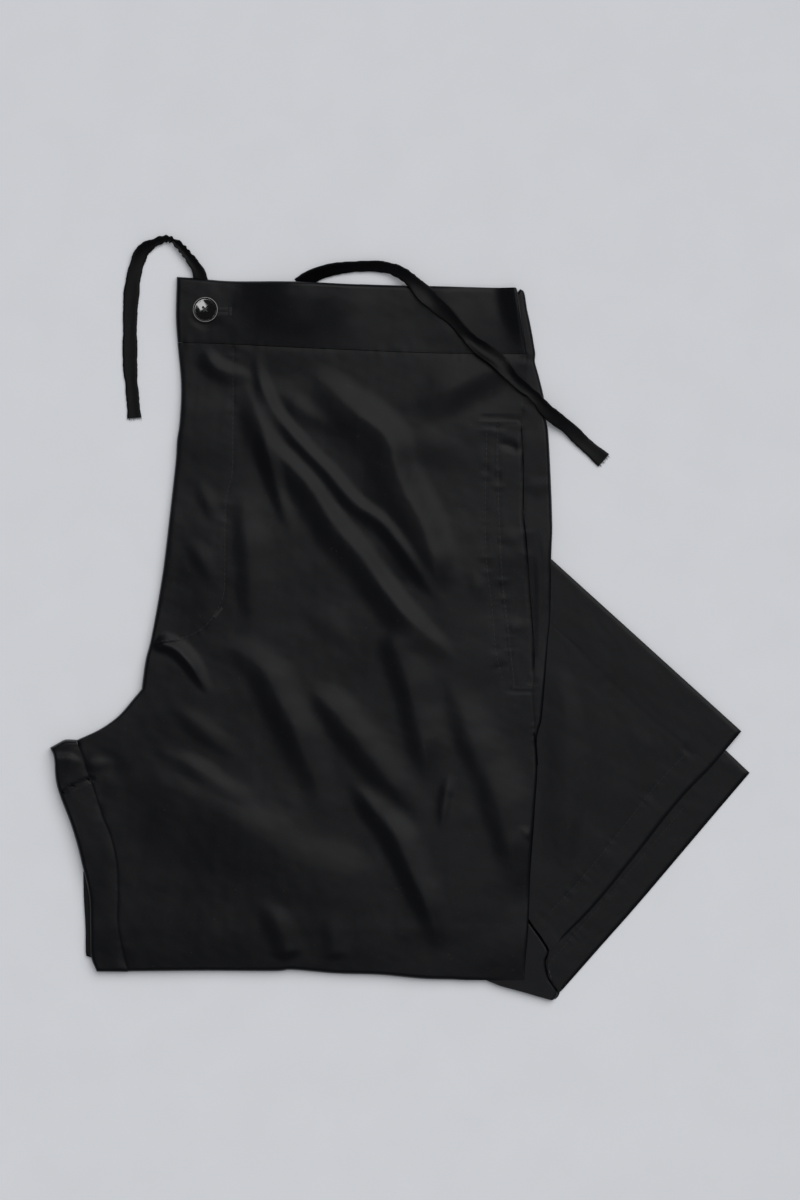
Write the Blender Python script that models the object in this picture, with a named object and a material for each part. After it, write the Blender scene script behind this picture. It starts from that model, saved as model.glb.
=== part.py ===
"""Lounge pants folded in half along the centre front and laid flat, with both legs turned under.

X runs to the right and Y up the garment as it lies, Z is up from the surface that it rests on. The
origin is under the middle of the folded garment. Tables and sizes are in millimetres and are turned
into metres where a mesh or a curve is made.
"""
import math

import bpy
import numpy as np

MM = 0.001

# Cloth, layers and gaps
SEAM_GAP = 0.3
CLOTH_WALL = 1.4
BAND_WALL = 1.8
APPLIED_WALL = 1.0
LEG_WALL = 1.8
CORE_SLACK = 0.35
BAND_RISE = 0.4

# Rounded rims: how far in the roll starts, and the height that it ends at
ROLL_WIDTH = 5.0
RIM_HEIGHT = 1.2
RIM_ON_LEGS = 4.6
RIM_ON_LEDGE = 4.0
RIM_AT_BOTTOM = 3.6
RIM_BY_BACK_BAND = 4.0
LOWEST_POINT = 0.1
THINNEST_WALL = 0.05
INWARD_SHARE = 0.6
CORE_INSET = 3.4
CORE_RIM = 2.2
CORE_TOP_CORNER = 3.0

# Turned legs lie on each other under the right side
RIGHT_LEG_BASE = 0.0
LEFT_LEG_BASE = RIGHT_LEG_BASE + LEG_WALL + SEAM_GAP
LEG_TURN_TOP = 4.0
LEG_ROOT_X = 64.4
LEG_RIM_DROP = 0.7
LEG_RIM_WIDTH = 2.5
LEG_TURN_DROP = 1.0
LEG_TURN_WIDTH = 3.0
CORE_RIGHT_X = LEG_ROOT_X - 0.9

# Where the front's rims and underside change over from the surface to the turned legs
LEGS_START_Y = (64.0, 78.0)
LEGS_SIDE_Y = (-64.0, -56.0)
LEGS_BOTTOM_X = (28.0, 42.0)
LEGS_EDGE_MARGIN = 2.0
LEGS_UNDER_X = LEG_ROOT_X - 3.0
TURN_UNDER_X = 44.0
TURN_UNDER_Y = -192.0
SEAM_START_Y = (-66.0, -60.0)
LEDGE_START_Y = (-142.0, -130.0)

# Lengths that set how close the rows of points lie near a rolled rim
FRONT_WIDTH = 225.0
INSEAM_LENGTH = 147.0
BAND_LENGTH = 210.0
LEG_LENGTH = 150.0

# Height of the front over the hidden layers, before its folds, from waist to bottom fold
PILE_BY_Y = [
    # y, height
    (222.1, 5.2),
    (181.0, 5.4),
    (120.0, 6.3),
    (40.0, 7.4),
    (-60.0, 8.2),
    (-150.0, 8.2),
    (-178.0, 7.8),
    (-209.9, 5.9),
]
SIDE_FALL = 1.3
SIDE_FALL_START = 25.0
SIDE_FALL_SPAN = 55.0
FRONT_FALL = 0.9
FRONT_FALL_SPAN = 38.0

# Borders of the pieces, as the folded garment shows them from above
CENTRE_FRONT = [
    # x, y
    (-136.7, 181.4), (-134.5, 155.8), (-135.4, 133.3), (-137.0, 121.9), (-137.9, 108.1),
    (-141.1, 79.2), (-146.0, 39.1), (-152.5, 2.0), (-156.3, -13.4), (-158.8, -31.2),
]
CROTCH_CURVE = [(-158.8, -31.2), (-164.4, -37.9), (-172.9, -47.6), (-183.9, -55.6), (-198.3, -62.4)]
INSEAM = [
    # x, y
    (-198.3, -62.4), (-194.7, -71.7), (-191.8, -81.6), (-187.6, -92.8), (-181.9, -109.8),
    (-177.0, -122.5), (-173.4, -139.4), (-172.8, -156.3), (-172.8, -173.3), (-169.9, -192.9),
    (-166.8, -204.7),
]
INSEAM_OUTER = [
    # x, y
    (-214.9, -67.1), (-212.4, -73.4), (-211.6, -85.3), (-209.4, -95.0), (-203.3, -110.9),
    (-199.7, -121.8), (-196.4, -134.0), (-191.1, -156.4), (-190.2, -177.0), (-189.7, -194.5),
    (-186.0, -204.6),
]
INSEAM_TOP = [(-209.3, -64.0), (-205.5, -62.2)]
LEDGE_OUTER = [(-194.6, -142.0), (-194.2, -159.5), (-193.2, -177.8), (-193.0, -193.6), (-191.8, -196.6)]
SIDE_SEAM = [
    # x, y
    (77.8, 174.3), (76.0, 146.5), (74.5, 133.5), (74.9, 128.1), (75.9, 105.5), (75.9, 78.9),
    (77.8, 58.8), (79.9, 28.1), (82.1, -1.1), (82.5, -15.2), (81.1, -32.8), (82.3, -53.0),
    (84.2, -78.4), (82.8, -103.7), (81.4, -124.1), (79.9, -145.6), (78.6, -179.4), (76.8, -199.7),
    (76.4, -209.9),
]
SIDE_OUTER = [
    # x, y
    (82.0, 182.4), (83.2, 174.5), (82.9, 169.9), (85.5, 160.3), (88.6, 147.0), (89.6, 135.3),
    (91.2, 125.5), (92.7, 97.3), (93.5, 72.2), (92.8, 49.5), (92.1, 14.4), (90.5, -4.2),
    (88.7, -29.2), (86.8, -50.3), (84.4, -61.5),
]
SIDE_LEAST = 1.2
WAIST_SEAM = [(-136.7, 181.4), (-103.4, 180.2), (-75.0, 178.7), (-30.8, 176.8), (26.4, 174.6), (77.8, 174.3)]
BOTTOM_FOLD = [
    # x, y
    (-166.8, -204.7), (-123.0, -204.3), (-77.2, -204.5), (-66.2, -203.7), (-38.8, -206.0),
    (-12.4, -206.8), (17.1, -209.4), (48.8, -209.7), (76.4, -209.9),
]
BAND_TOP = [(-137.1, 222.1), (-126.8, 221.4), (-105.3, 219.5), (-72.0, 219.1), (-30.8, 217.5), (70.5, 213.6)]
BAND_LEFT = [(-137.1, 222.1), (-137.7, 198.2), (-136.7, 181.7)]
BAND_RIGHT = [(70.5, 213.6), (72.4, 211.4), (77.8, 174.6)]
BACK_BAND_INNER = [(72.9, 211.8), (77.4, 182.7)]
BACK_BAND_OUTER = [(73.9, 214.6), (76.4, 212.3), (78.1, 202.1), (79.9, 193.9), (82.0, 182.7)]

# Fly and pocket welt, as they lie on the front
FLY_EDGE_INSET = 2.5
FLY_LEFT_Y = (179.9, -4.5)
FLY_RIGHT = [
    # x, y
    (-101.5, 179.0), (-101.9, 140.0), (-102.3, 102.2), (-105.4, 88.0), (-106.5, 76.7),
    (-106.1, 32.7), (-109.0, 21.0), (-116.0, 9.0), (-126.8, 1.4), (-137.2, -1.7), (-147.5, -3.0),
]
WELT_LEFT = [
    # x, y
    (59.9, 133.0), (58.6, 117.6), (59.1, 86.3), (60.5, 52.1), (62.0, 29.7), (64.7, 8.8),
    (66.0, -2.9), (67.6, -17.7), (69.4, -29.4),
]
WELT_EDGE_INSET = 0.9

# Turned lower legs and the corner where they turn
LEFT_LEG_TOP_CORNER = (209.6, -57.1)
LEFT_LEG_HEM = [(170.6, -100.7), (145.0, -133.1), (119.2, -164.5), (98.8, -184.8)]
LEFT_LEG_SEAM = [
    # x, y
    (LEG_ROOT_X, 33.5), (101.4, 0.2), (130.2, -28.1), (152.4, -48.3), (178.1, -68.4), (191.2, -79.0),
]
LEFT_LEG_SEAM_SHIFT = (-0.2, -0.22)
LEFT_LEG_EDGE = [(LEG_ROOT_X, 74.5), LEFT_LEG_TOP_CORNER]
RIGHT_LEG_HEM = [(214.9, -82.7), (190.1, -111.8), (147.5, -162.0), (123.2, -189.5), (100.2, -215.6)]
RIGHT_LEG_ROOT_TOP = (LEG_ROOT_X, 60.0)
LEG_EDGE_SLOPE = 0.906
TURN_INNER = [
    # x, y
    (LEG_ROOT_X, -155.0), (LEG_ROOT_X, -165.0), (LEG_ROOT_X, -175.0), (LEG_ROOT_X, -184.0),
    (LEG_ROOT_X, -190.0), (LEG_ROOT_X, -196.0), (LEG_ROOT_X, -202.0), (52.0, -209.5),
    (75.0, -217.0), (92.9, -222.1),
]
TURN_OUTER = [
    # x, y
    (66.2, -155.0), (73.3, -165.0), (80.4, -175.0), (88.2, -186.0), (91.4, -192.1),
    (89.4, -195.9), (89.6, -202.0), (91.4, -208.8), (96.9, -217.3), (94.3, -221.8),
]
TURN_SIDE_GAP = 0.5
TURN_MOUTH_GAP = 1.6

# Hidden layers: border points and the rows down their left side
CORE_CROTCH = [
    # x, y
    (-153.4, -30.0), (-160.0, -39.5), (-168.4, -49.5), (-178.0, -58.2), (-187.0, -66.0),
    (-199.5, -73.5), (-207.4, -79.0),
]
CORE_TOP = [(-133.0, 217.4), (-105.0, 215.0), (-72.0, 214.6), (-30.8, 213.0), (67.5, 208.6)]
CORE_BOTTOM = [
    # x, y
    (-181.4, -200.8), (-123.0, -200.6), (-66.0, -200.0), (-12.0, -203.0), (35.0, -205.8), (47.5, -206.2),
]
CORE_TOP_ROWS = [214.2, 211.5, 208.0]
CORE_BAND_ROWS = (202.0, 79.2)
CORE_ROOT_ROW = 77.6
CORE_THIGH_ROWS = (62.0, -22.0)
CORE_LEDGE_ROWS = [-84.0, -100.0, -116.0, -132.0, -139.5, -143.5, -158.0, -173.0, -188.0, -195.0]
CORE_END_ROWS = [-198.5, -201.3]
CORE_CORNER_Y = (190.0, 208.0)
CORE_LEDGE_Y = (-197.0, -141.0)
CORE_LEDGE_WIDTH = 6.2
CORE_LAST_CORNER = (56.0, -201.5)
CORE_LAST_INSET = 2.5

# Grooves round the edge of the hidden layers, which part them into plies
PLY_GROOVES = [
    # height, inset
    (1.6, 0.0), (1.3, 0.8), (1.0, 0.0), (0.7, 0.8), (0.4, 0.0), (0.0, 0.2),
]

# Largest folds of the front. A fold is a soft ridge: steep on the side towards the inseam (down),
# longer on the side towards the waist (up).
FRONT_FOLDS = {
    # name: (height, width up, width down, crest points x and y)
    "waist_first": (2.6, 11, 11, [(-98, 160), (-92, 144), (-83, 126), (-75, 111), (-63, 97), (-51, 82),
                                  (-39, 63), (-27, 46), (-13, 28), (-1, 13), (11, -1), (24, -12)]),
    "waist_second": (2.8, 12, 10, [(-88, 172), (-86, 156), (-78, 140), (-69, 126), (-57, 114), (-43, 100),
                                   (-28, 82), (-13, 70), (2, 54), (15, 36), (26, 24)]),
    "waist_third": (3.6, 26, 27, [(-62, 165), (-45, 155), (-34, 143), (-21, 131), (-10, 120), (-5, 107),
                                  (2, 88), (11, 72), (18, 54), (22, 38), (25, 27)]),
    "under_band": (1.9, 30, 18, [(8, 137), (25, 150), (40, 160), (54, 166)]),
    "thigh_long": (2.4, 16, 15, [(6, 0), (14, -24), (20, -48), (25, -72), (29, -92)]),
    "thigh_side": (2.2, 17, 14, [(33, -18), (42, -46), (50, -72), (60, -97), (68, -122), (72, -148)]),
    "crotch_first": (3.2, 17, 16, [(-112, -7), (-99, -11), (-83, -24), (-75, -40), (-64, -60), (-55, -83),
                                   (-49, -103)]),
    "crotch_middle": (2.8, 17, 15, [(-62, -27), (-46, -38), (-30, -56), (-17, -72), (-3, -89), (11, -101)]),
    "inseam_broad": (2.9, 26, 34, [(-174, -76), (-150, -88), (-124, -103), (-98, -121), (-78, -132),
                                   (-46, -142), (-26, -144)]),
    "knee": (2.9, 16, 14, [(-32, -87), (-20, -103), (-5, -117), (3, -134), (11, -154), (19, -174),
                           (25, -192)]),
    "bottom_left": (1.4, 18, 16, [(-90, -163), (-76, -176), (-68, -190)]),
}
FOLD_END_SHARE = 0.22

# Button
BUTTON_AT = (-119.2, 201.3)
BUTTON_RADIUS = 7.7
BUTTON_PROFILE = [
    # radius, height
    (0.0, 0.0), (5.6, 0.0), (7.0, 0.5), (7.7, 1.4), (7.5, 2.3), (6.8, 2.8), (6.1, 2.6), (5.5, 2.0),
    (4.6, 1.7), (0.0, 1.7),
]
BUTTON_SIDES = 28
BUTTON_HOLE_RADIUS = 0.8
BUTTON_HOLE_OFFSET = 1.35
BUTTON_HOLE_SIDES = 10
BUTTON_CUT_FROM = -1.0
BUTTON_CUT_TO = 4.0

# Ties: flat strings of the same cloth. Routes are x, y, z of the middle, and the turn of the flat
# side in degrees, 0 lying flat.
TIE_WIDTH = 9.0
TIE_THICK = 1.2
TIE_LEFT_ROUTE = [
    # x, y, z, turn
    (-122.9, 222.5, 2.6, 10), (-123.9, 225.6, 2.9, 24), (-126.4, 229.8, 3.1, 34),
    (-131.7, 236.9, 3.2, 36), (-137.1, 242.9, 3.0, 32), (-142.8, 245.6, 2.6, 26),
    (-149.3, 243.8, 2.1, 18),
    (-157.6, 238.6, 1.6, 10), (-161.2, 231.1, 1.3, 6), (-163.6, 222.5, 1.1, 3),
    (-165.0, 212.6, 0.9, 0), (-165.9, 198.1, 0.8, 0), (-166.0, 177.0, 0.8, 0),
    (-165.8, 165.0, 0.8, 0), (-164.6, 151.0, 0.8, 0), (-163.3, 135.4, 0.8, 0),
]
TIE_RIGHT_ROUTE = [
    # x, y, z, turn
    (-53.5, 222.4, 3.3, 36), (-44.3, 225.8, 3.5, 40), (-33.9, 227.6, 3.6, 42),
    (-22.8, 228.4, 3.6, 42), (-12.4, 228.2, 3.9, 36), (-3.2, 226.0, 4.9, 26),
    (5.4, 220.7, 6.4, 14), (15.3, 210.6, 7.6, 6), (25.1, 201.9, 7.5, 4), (31.9, 195.7, 7.5, 4),
    (40.5, 185.9, 7.5, 6), (50.3, 176.6, 7.4, 8), (60.2, 169.3, 7.3, 4), (70.6, 158.2, 7.1, 2),
    (82.3, 148.4, 6.9, 2), (89.7, 139.8, 6.3, 8), (96.5, 134.2, 4.6, 12), (103.9, 128.7, 2.6, 10),
    (113.0, 119.9, 1.2, 2), (125.2, 109.3, 0.8, 0),
]
TIE_POINTS_LEFT = 20
TIE_POINTS_RIGHT = 30


def clear_scene():
    """Remove whatever the scene holds."""
    for thing in list(bpy.data.objects):
        bpy.data.objects.remove(thing, do_unlink=True)


def make_material(name, colour, roughness):
    """A Principled material of one colour."""
    material = bpy.data.materials.new(name)
    material.use_nodes = True
    shader = material.node_tree.nodes["Principled BSDF"]
    shader.inputs["Base Color"].default_value = (*colour, 1.0)
    shader.inputs["Roughness"].default_value = roughness
    shader.inputs["Metallic"].default_value = 0.0
    return material


def smooth_line(points, steps=8):
    """Points on a Catmull-Rom curve through the given ones."""
    given = np.array(points, dtype=float)
    padded = np.vstack([2 * given[0] - given[1], given, 2 * given[-1] - given[-2]])
    line = []
    for before, start, end, after in zip(padded, padded[1:], padded[2:], padded[3:]):
        for step in range(steps):
            u = step / steps
            line.append(0.5 * (2 * start + (end - before) * u
                               + (2 * before - 5 * start + 4 * end - after) * u * u
                               + (3 * start - before - 3 * end + after) * u ** 3))
    line.append(given[-1])
    return np.array(line)


def spaced(points, shares, steps=8):
    """Points of a smooth line at the given shares of its length; straight runs if steps is 1."""
    line = smooth_line(points, steps)
    runs = np.concatenate([[0.0], np.cumsum(np.linalg.norm(np.diff(line, axis=0), axis=1))])
    wanted = np.asarray(shares) * runs[-1]
    return np.column_stack([np.interp(wanted, runs, line[:, axis]) for axis in range(line.shape[1])])


def x_at(points, y):
    """X of a border that runs down the garment, at heights y."""
    line = smooth_line(points)[::-1]
    return np.interp(y, line[:, 1], line[:, 0])


def rim_shares(length, count, rims):
    """Shares of a row with close points near its rolled ends.

    rims says whether the first and the last end are rolled.
    """
    near = np.array([0.0, 0.5, 1.6, 3.4, 6.0]) / length
    start = near if rims[0] else near[:1]
    end = 1.0 - near[::-1] if rims[1] else np.array([1.0])
    middle = np.linspace(start[-1], end[0], count)
    return np.concatenate([start[:-1], middle, end[1:]])


def smoothstep(low, high, value):
    """0 below low, 1 above high, and a soft step between."""
    share = np.clip((np.asarray(value, dtype=float) - low) / (high - low), 0.0, 1.0)
    return share * share * (3 - 2 * share)


def length_shares(line):
    """How far along a line each of its points lies, from 0 to 1."""
    runs = np.concatenate([[0.0], np.cumsum(np.linalg.norm(np.diff(line, axis=0), axis=1))])
    return runs / runs[-1]


def patch(top, bottom, left, right):
    """Grid of plan points between four borders (a Coons patch)."""
    across, down = length_shares(top)[None, :, None], length_shares(left)[:, None, None]
    flat = (1 - across) * left[:, None, :] + across * right[:, None, :]
    top_bend = top - ((1 - across[0]) * top[0] + across[0] * top[-1])
    bottom_bend = bottom - ((1 - across[0]) * bottom[0] + across[0] * bottom[-1])
    return flat + (1 - down) * top_bend[None] + down * bottom_bend[None]


def inner_patch(left, right, shares):
    """Grid between two side borders, with straight rows and columns at the given shares."""
    return patch(spaced([left[0], right[0]], shares), spaced([left[-1], right[-1]], shares), left, right)


def pile_height(x, y):
    """Height of the front over the surface, before its folds."""
    table = np.array(PILE_BY_Y)[::-1]
    height = np.interp(y, table[:, 0], table[:, 1])
    height = height - SIDE_FALL * smoothstep(SIDE_FALL_START, SIDE_FALL_START + SIDE_FALL_SPAN, x)
    edge = x_at(CENTRE_FRONT + CROTCH_CURVE[1:], y)
    near_edge = 1 - smoothstep(0, FRONT_FALL_SPAN, x - edge)
    return height - FRONT_FALL * near_edge * smoothstep(-60, 0, y)


def fold_height(x, y, folds):
    """Summed height of the soft ridges in a table of folds."""
    total = np.zeros(np.shape(x))
    for height, width_up, width_down, crest in folds.values():
        line = smooth_line(crest, 4)
        best = np.full(np.shape(x), 1e9)
        side = np.zeros(np.shape(x))
        along = np.zeros(np.shape(x))
        runs = np.concatenate([[0], np.cumsum(np.linalg.norm(np.diff(line, axis=0), axis=1))])
        for index, (start, end) in enumerate(zip(line, line[1:])):
            reach = end - start
            share = ((x - start[0]) * reach[0] + (y - start[1]) * reach[1]) / (reach @ reach)
            share = np.clip(share, 0, 1)
            gap_x, gap_y = x - start[0] - share * reach[0], y - start[1] - share * reach[1]
            distance = np.hypot(gap_x, gap_y)
            nearer = distance < best
            best = np.where(nearer, distance, best)
            side = np.where(nearer, reach[0] * gap_y - reach[1] * gap_x, side)
            place = (runs[index] + share * (runs[index + 1] - runs[index])) / runs[-1]
            along = np.where(nearer, place, along)
        width = np.where(side > 0, width_up, width_down)
        across = np.clip(1 - best / width, 0, 1)
        ends = np.clip(np.minimum(along, 1 - along) / FOLD_END_SHARE, 0, 1)
        bump = across * across * (3 - 2 * across)
        total = total + height * bump * ends * (2 - ends)
    return total


def front_height(x, y):
    """Height of the front with its folds, away from its rolled rims."""
    return pile_height(x, y) + fold_height(x, y, FRONT_FOLDS)


def band_height(x, y):
    """Height of the waistband: a little over the front."""
    return pile_height(x, y) + BAND_RISE


def rolled(grid, heights, rims):
    """Lower a grid's heights to its rims over a quarter of an ellipse.

    rims maps a side (left, right, top, bottom) to the rim's height along it; a side that is not
    named has no roll.
    """
    borders = {"left": grid[:, :1], "right": grid[:, -1:], "top": grid[:1], "bottom": grid[-1:]}
    lowest = heights
    for side, rim in rims.items():
        distance = np.linalg.norm(grid - borders[side], axis=2)
        share = np.clip(1 - distance / ROLL_WIDTH, 0, 1)
        rim = np.asarray(rim, dtype=float)
        if rim.ndim == 1:
            rim = rim[:, None] if side in ("left", "right") else rim[None, :]
        rim = np.minimum(rim, heights)
        lowest = np.minimum(lowest, rim + (heights - rim) * np.sqrt(1 - share * share))
    return lowest


def grid_normals(points):
    """Upward normals of a grid of points."""
    down, across = np.gradient(points, axis=(0, 1))
    normals = np.cross(down, across)
    normals = normals / np.maximum(np.linalg.norm(normals, axis=2, keepdims=True), 1e-9)
    return normals * np.where(normals[..., 2:] < 0, -1, 1)


def grid_faces(rows, columns, first, flip):
    """Quads of a grid whose points start at index first."""
    faces = []
    for row in range(rows - 1):
        for column in range(columns - 1):
            corner = first + row * columns + column
            quad = (corner, corner + columns, corner + columns + 1, corner + 1)
            faces.append(quad[::-1] if flip else quad)
    return faces


def border_indices(rows, columns):
    """Indices of a grid's border, once round."""
    top = list(range(columns))
    right = [row * columns + columns - 1 for row in range(1, rows)]
    bottom = [(rows - 1) * columns + column for column in range(columns - 2, -1, -1)]
    left = [row * columns for row in range(rows - 2, 0, -1)]
    return top + right + bottom + left


def add_object(name, points, faces, material):
    """Make a smooth-shaded mesh object from points in millimetres."""
    mesh = bpy.data.meshes.new(name)
    mesh.from_pydata([tuple(float(value) * MM for value in point) for point in points], [], faces)
    mesh.materials.append(material)
    mesh.validate()
    mesh.shade_smooth()
    mesh.set_sharp_from_angle(angle=math.radians(50))
    made = bpy.data.objects.new(name, mesh)
    bpy.context.scene.collection.objects.link(made)
    return made


def add_wall(name, outer, inner, material):
    """A closed wall between an outer grid of points and the same grid moved in."""
    rows, columns = outer.shape[:2]
    count = rows * columns
    points = np.vstack([outer.reshape(-1, 3), inner.reshape(-1, 3)])
    faces = grid_faces(rows, columns, 0, False) + grid_faces(rows, columns, count, True)
    ring = border_indices(rows, columns)
    for here, there in zip(ring, ring[1:] + ring[:1]):
        faces.append((here, there, there + count, here + count))
    return add_object(name, points, faces, material)


def floor_under(x, y):
    """Lowest height that a wall may reach: the turned legs' top where they lie under it."""
    legs_edge = LEFT_LEG_EDGE[0][1] + (LEG_ROOT_X - x) * LEG_EDGE_SLOPE + LEGS_EDGE_MARGIN
    over_legs = (x > LEGS_UNDER_X) & (y < legs_edge)
    over_turn = (x > TURN_UNDER_X) & (y < TURN_UNDER_Y)
    return np.where(over_legs | over_turn, LEG_TURN_TOP + SEAM_GAP, LOWEST_POINT)


def cloth_wall(name, grid, heights, thickness, material):
    """A wall of cloth: a grid of heights, and the same moved in along its normals.

    No point moves sideways past most of its way to a border, so the wall stays inside its plan.
    """
    outer = np.dstack([grid, heights])
    shift = -thickness * grid_normals(outer)
    borders = (grid[:, :1], grid[:, -1:], grid[-1:], grid[:1])
    left, right, bottom, top = [INWARD_SHARE * np.linalg.norm(grid - line, axis=2) for line in borders]
    shift[..., 0] = np.clip(shift[..., 0], -left, right)
    shift[..., 1] = np.clip(shift[..., 1], -bottom, top)
    inner = outer + shift
    inner[..., 2] = np.maximum(inner[..., 2], floor_under(inner[..., 0], inner[..., 1]))
    inner[..., 2] = np.minimum(inner[..., 2], outer[..., 2] - THINNEST_WALL)
    return add_wall(name, outer, inner, material)


def rim_over_legs(y):
    """Rim height down the right side: on the surface above the turned legs, on them below."""
    return RIM_HEIGHT + (RIM_ON_LEGS - RIM_HEIGHT) * (1 - smoothstep(*LEGS_START_Y, y))


def front_grid():
    """Plan grid of the front, from waist seam to bottom fold."""
    centre = spaced(CENTRE_FRONT, np.linspace(0, 1, 22))
    crotch = spaced(CROTCH_CURVE, np.linspace(0, 1, 6))[1:]
    inseam = spaced(INSEAM, rim_shares(INSEAM_LENGTH, 14, (False, True)))[1:]
    left = np.vstack([centre, crotch, inseam])
    left_ends, right_ends = (INSEAM[-1][1], CENTRE_FRONT[0][1]), (SIDE_SEAM[-1][1], SIDE_SEAM[0][1])
    right_y = np.interp(left[:, 1], left_ends, right_ends)
    right = np.column_stack([x_at(SIDE_SEAM, right_y), right_y])
    shares = rim_shares(FRONT_WIDTH, 20, (True, True))
    return patch(spaced(WAIST_SEAM, shares), spaced(BOTTOM_FOLD, shares), left, right)


def build_front(cloth):
    """The left front, one wall with the largest folds."""
    grid = front_grid()
    heights = front_height(grid[..., 0], grid[..., 1])
    left_y, right_y = grid[:, 0, 1], grid[:, -1, 1]
    left_top, right_top = heights[:, 0], heights[:, -1]
    above_seam = smoothstep(*SEAM_START_Y, left_y)
    left_rim = left_top + (RIM_HEIGHT - left_top) * above_seam
    fold_side = 1 - smoothstep(*LEGS_SIDE_Y, right_y)
    right_rim = right_top + (RIM_ON_LEGS - right_top) * fold_side
    on_turn = smoothstep(*LEGS_BOTTOM_X, grid[-1, :, 0])
    bottom_rim = RIM_HEIGHT + (RIM_ON_LEGS - RIM_HEIGHT) * on_turn
    heights = rolled(grid, heights, {"left": left_rim, "right": right_rim, "bottom": bottom_rim})
    return cloth_wall("front_left", grid, heights, CLOTH_WALL, cloth)


def on_front(grid, gap):
    """Points of the front's surface under a plan grid, moved out by a gap."""
    heights = front_height(grid[..., 0], grid[..., 1])
    edge = x_at(CENTRE_FRONT, grid[..., 1])
    share = np.clip(1 - (grid[..., 0] - edge) / ROLL_WIDTH, 0, 1)
    heights = RIM_HEIGHT + (heights - RIM_HEIGHT) * np.sqrt(1 - share * share)
    surface = np.dstack([grid, heights])
    return surface + gap * grid_normals(surface)


def build_fly(cloth):
    """The fly's double layer, lying on the front inside the J of stitching."""
    rows = 26
    right = spaced(FLY_RIGHT, np.linspace(0, 1, rows))
    left_y = np.linspace(*FLY_LEFT_Y, rows)
    left = np.column_stack([x_at(CENTRE_FRONT, left_y) + FLY_EDGE_INSET, left_y])
    grid = inner_patch(left, right, np.array([0, 0.03, 0.07, 0.13, 0.25, 0.5, 0.75, 1.0]))
    inner = on_front(grid, SEAM_GAP)
    outer = on_front(grid, SEAM_GAP + APPLIED_WALL)
    return add_wall("fly", outer, inner, cloth)


def build_welt(cloth):
    """The pocket's welt, lying on the front along its opening edge."""
    rows = 22
    left_y = np.linspace(WELT_LEFT[0][1], WELT_LEFT[-1][1], rows)
    left = np.column_stack([x_at(WELT_LEFT, left_y), left_y])
    right = np.column_stack([x_at(SIDE_SEAM, left_y) - WELT_EDGE_INSET, left_y])
    grid = inner_patch(left, right, np.linspace(0, 1, 4))
    heights = front_height(grid[..., 0], grid[..., 1]) + SEAM_GAP + APPLIED_WALL
    outer = np.dstack([grid, heights])
    inner = outer - np.array([0, 0, APPLIED_WALL])
    return add_wall("pocket_welt", outer, inner, cloth)


def build_side(cloth):
    """The back where it wraps round the side, beside the pocket."""
    seam_top = SIDE_SEAM[0][1]
    beside_band = np.linspace(SIDE_OUTER[0][1], seam_top, 3)
    y = np.concatenate([beside_band, np.linspace(seam_top, SIDE_OUTER[-1][1], 25)[1:]])
    left_x = np.where(y > seam_top, x_at(BAND_RIGHT, y), x_at(SIDE_SEAM, y)) + SEAM_GAP
    left = np.column_stack([left_x, y])
    right = np.column_stack([np.maximum(x_at(SIDE_OUTER, y), left_x + SIDE_LEAST), y])
    grid = inner_patch(left, right, np.array([0, 0.35, 0.62, 0.82, 0.94, 1.0]))
    heights = pile_height(grid[..., 0], grid[..., 1])
    heights = rolled(grid, heights, {"right": rim_over_legs(y)})
    return cloth_wall("back_left_side", grid, heights, CLOTH_WALL, cloth)


def build_inseam_strip(cloth):
    """The back where it shows beyond the inseam, with the crotch point."""
    rows = rim_shares(INSEAM_LENGTH, 18, (True, True))
    right = spaced(INSEAM, rows) - np.array([SEAM_GAP, 0])
    left = spaced(INSEAM_OUTER, rows)
    shares = np.array([0, 0.02, 0.07, 0.14, 0.24, 0.4, 0.7, 1.0])
    top = spaced([left[0], *INSEAM_TOP, right[0]], shares)
    grid = patch(top, spaced([left[-1], right[-1]], shares), left, right)
    heights = front_height(grid[..., 0], grid[..., 1])
    above_ledge = smoothstep(*LEDGE_START_Y, left[:, 1])
    left_rim = RIM_HEIGHT + (RIM_ON_LEDGE - RIM_HEIGHT) * (1 - above_ledge)
    heights = rolled(grid, heights, {"left": left_rim, "top": RIM_HEIGHT, "bottom": RIM_AT_BOTTOM})
    return cloth_wall("back_left_inseam", grid, heights, CLOTH_WALL, cloth)


def build_waistband(cloth):
    """The waistband's front length and the back length that shows at the side."""
    shares = rim_shares(BAND_LENGTH, 16, (True, True))
    rows = np.array([0, 0.02, 0.05, 0.09, 0.15, 0.3, 0.5, 0.75, 0.95, 1.0])
    seam = spaced(WAIST_SEAM, shares) + np.array([0, SEAM_GAP])
    grid = patch(spaced(BAND_TOP, shares), seam, spaced(BAND_LEFT, rows), spaced(BAND_RIGHT, rows))
    heights = band_height(grid[..., 0], grid[..., 1])
    heights = rolled(grid, heights, {"left": RIM_HEIGHT, "top": RIM_HEIGHT, "right": RIM_BY_BACK_BAND})
    cloth_wall("waistband_front", grid, heights, BAND_WALL, cloth)
    left, right = spaced(BACK_BAND_INNER, rows), spaced(BACK_BAND_OUTER, rows)
    grid = inner_patch(left, right, np.array([0, 0.4, 0.7, 0.9, 1.0]))
    heights = pile_height(grid[..., 0], grid[..., 1])
    heights = rolled(grid, heights, {"right": RIM_HEIGHT, "top": RIM_HEIGHT})
    cloth_wall("waistband_back", grid, heights, CLOTH_WALL, cloth)


def turn_border(rows_from, gap):
    """The turned corner's outer border below a height, moved clear by a gap."""
    return [(x + gap, y) for x, y in TURN_OUTER if y <= rows_from]


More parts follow.
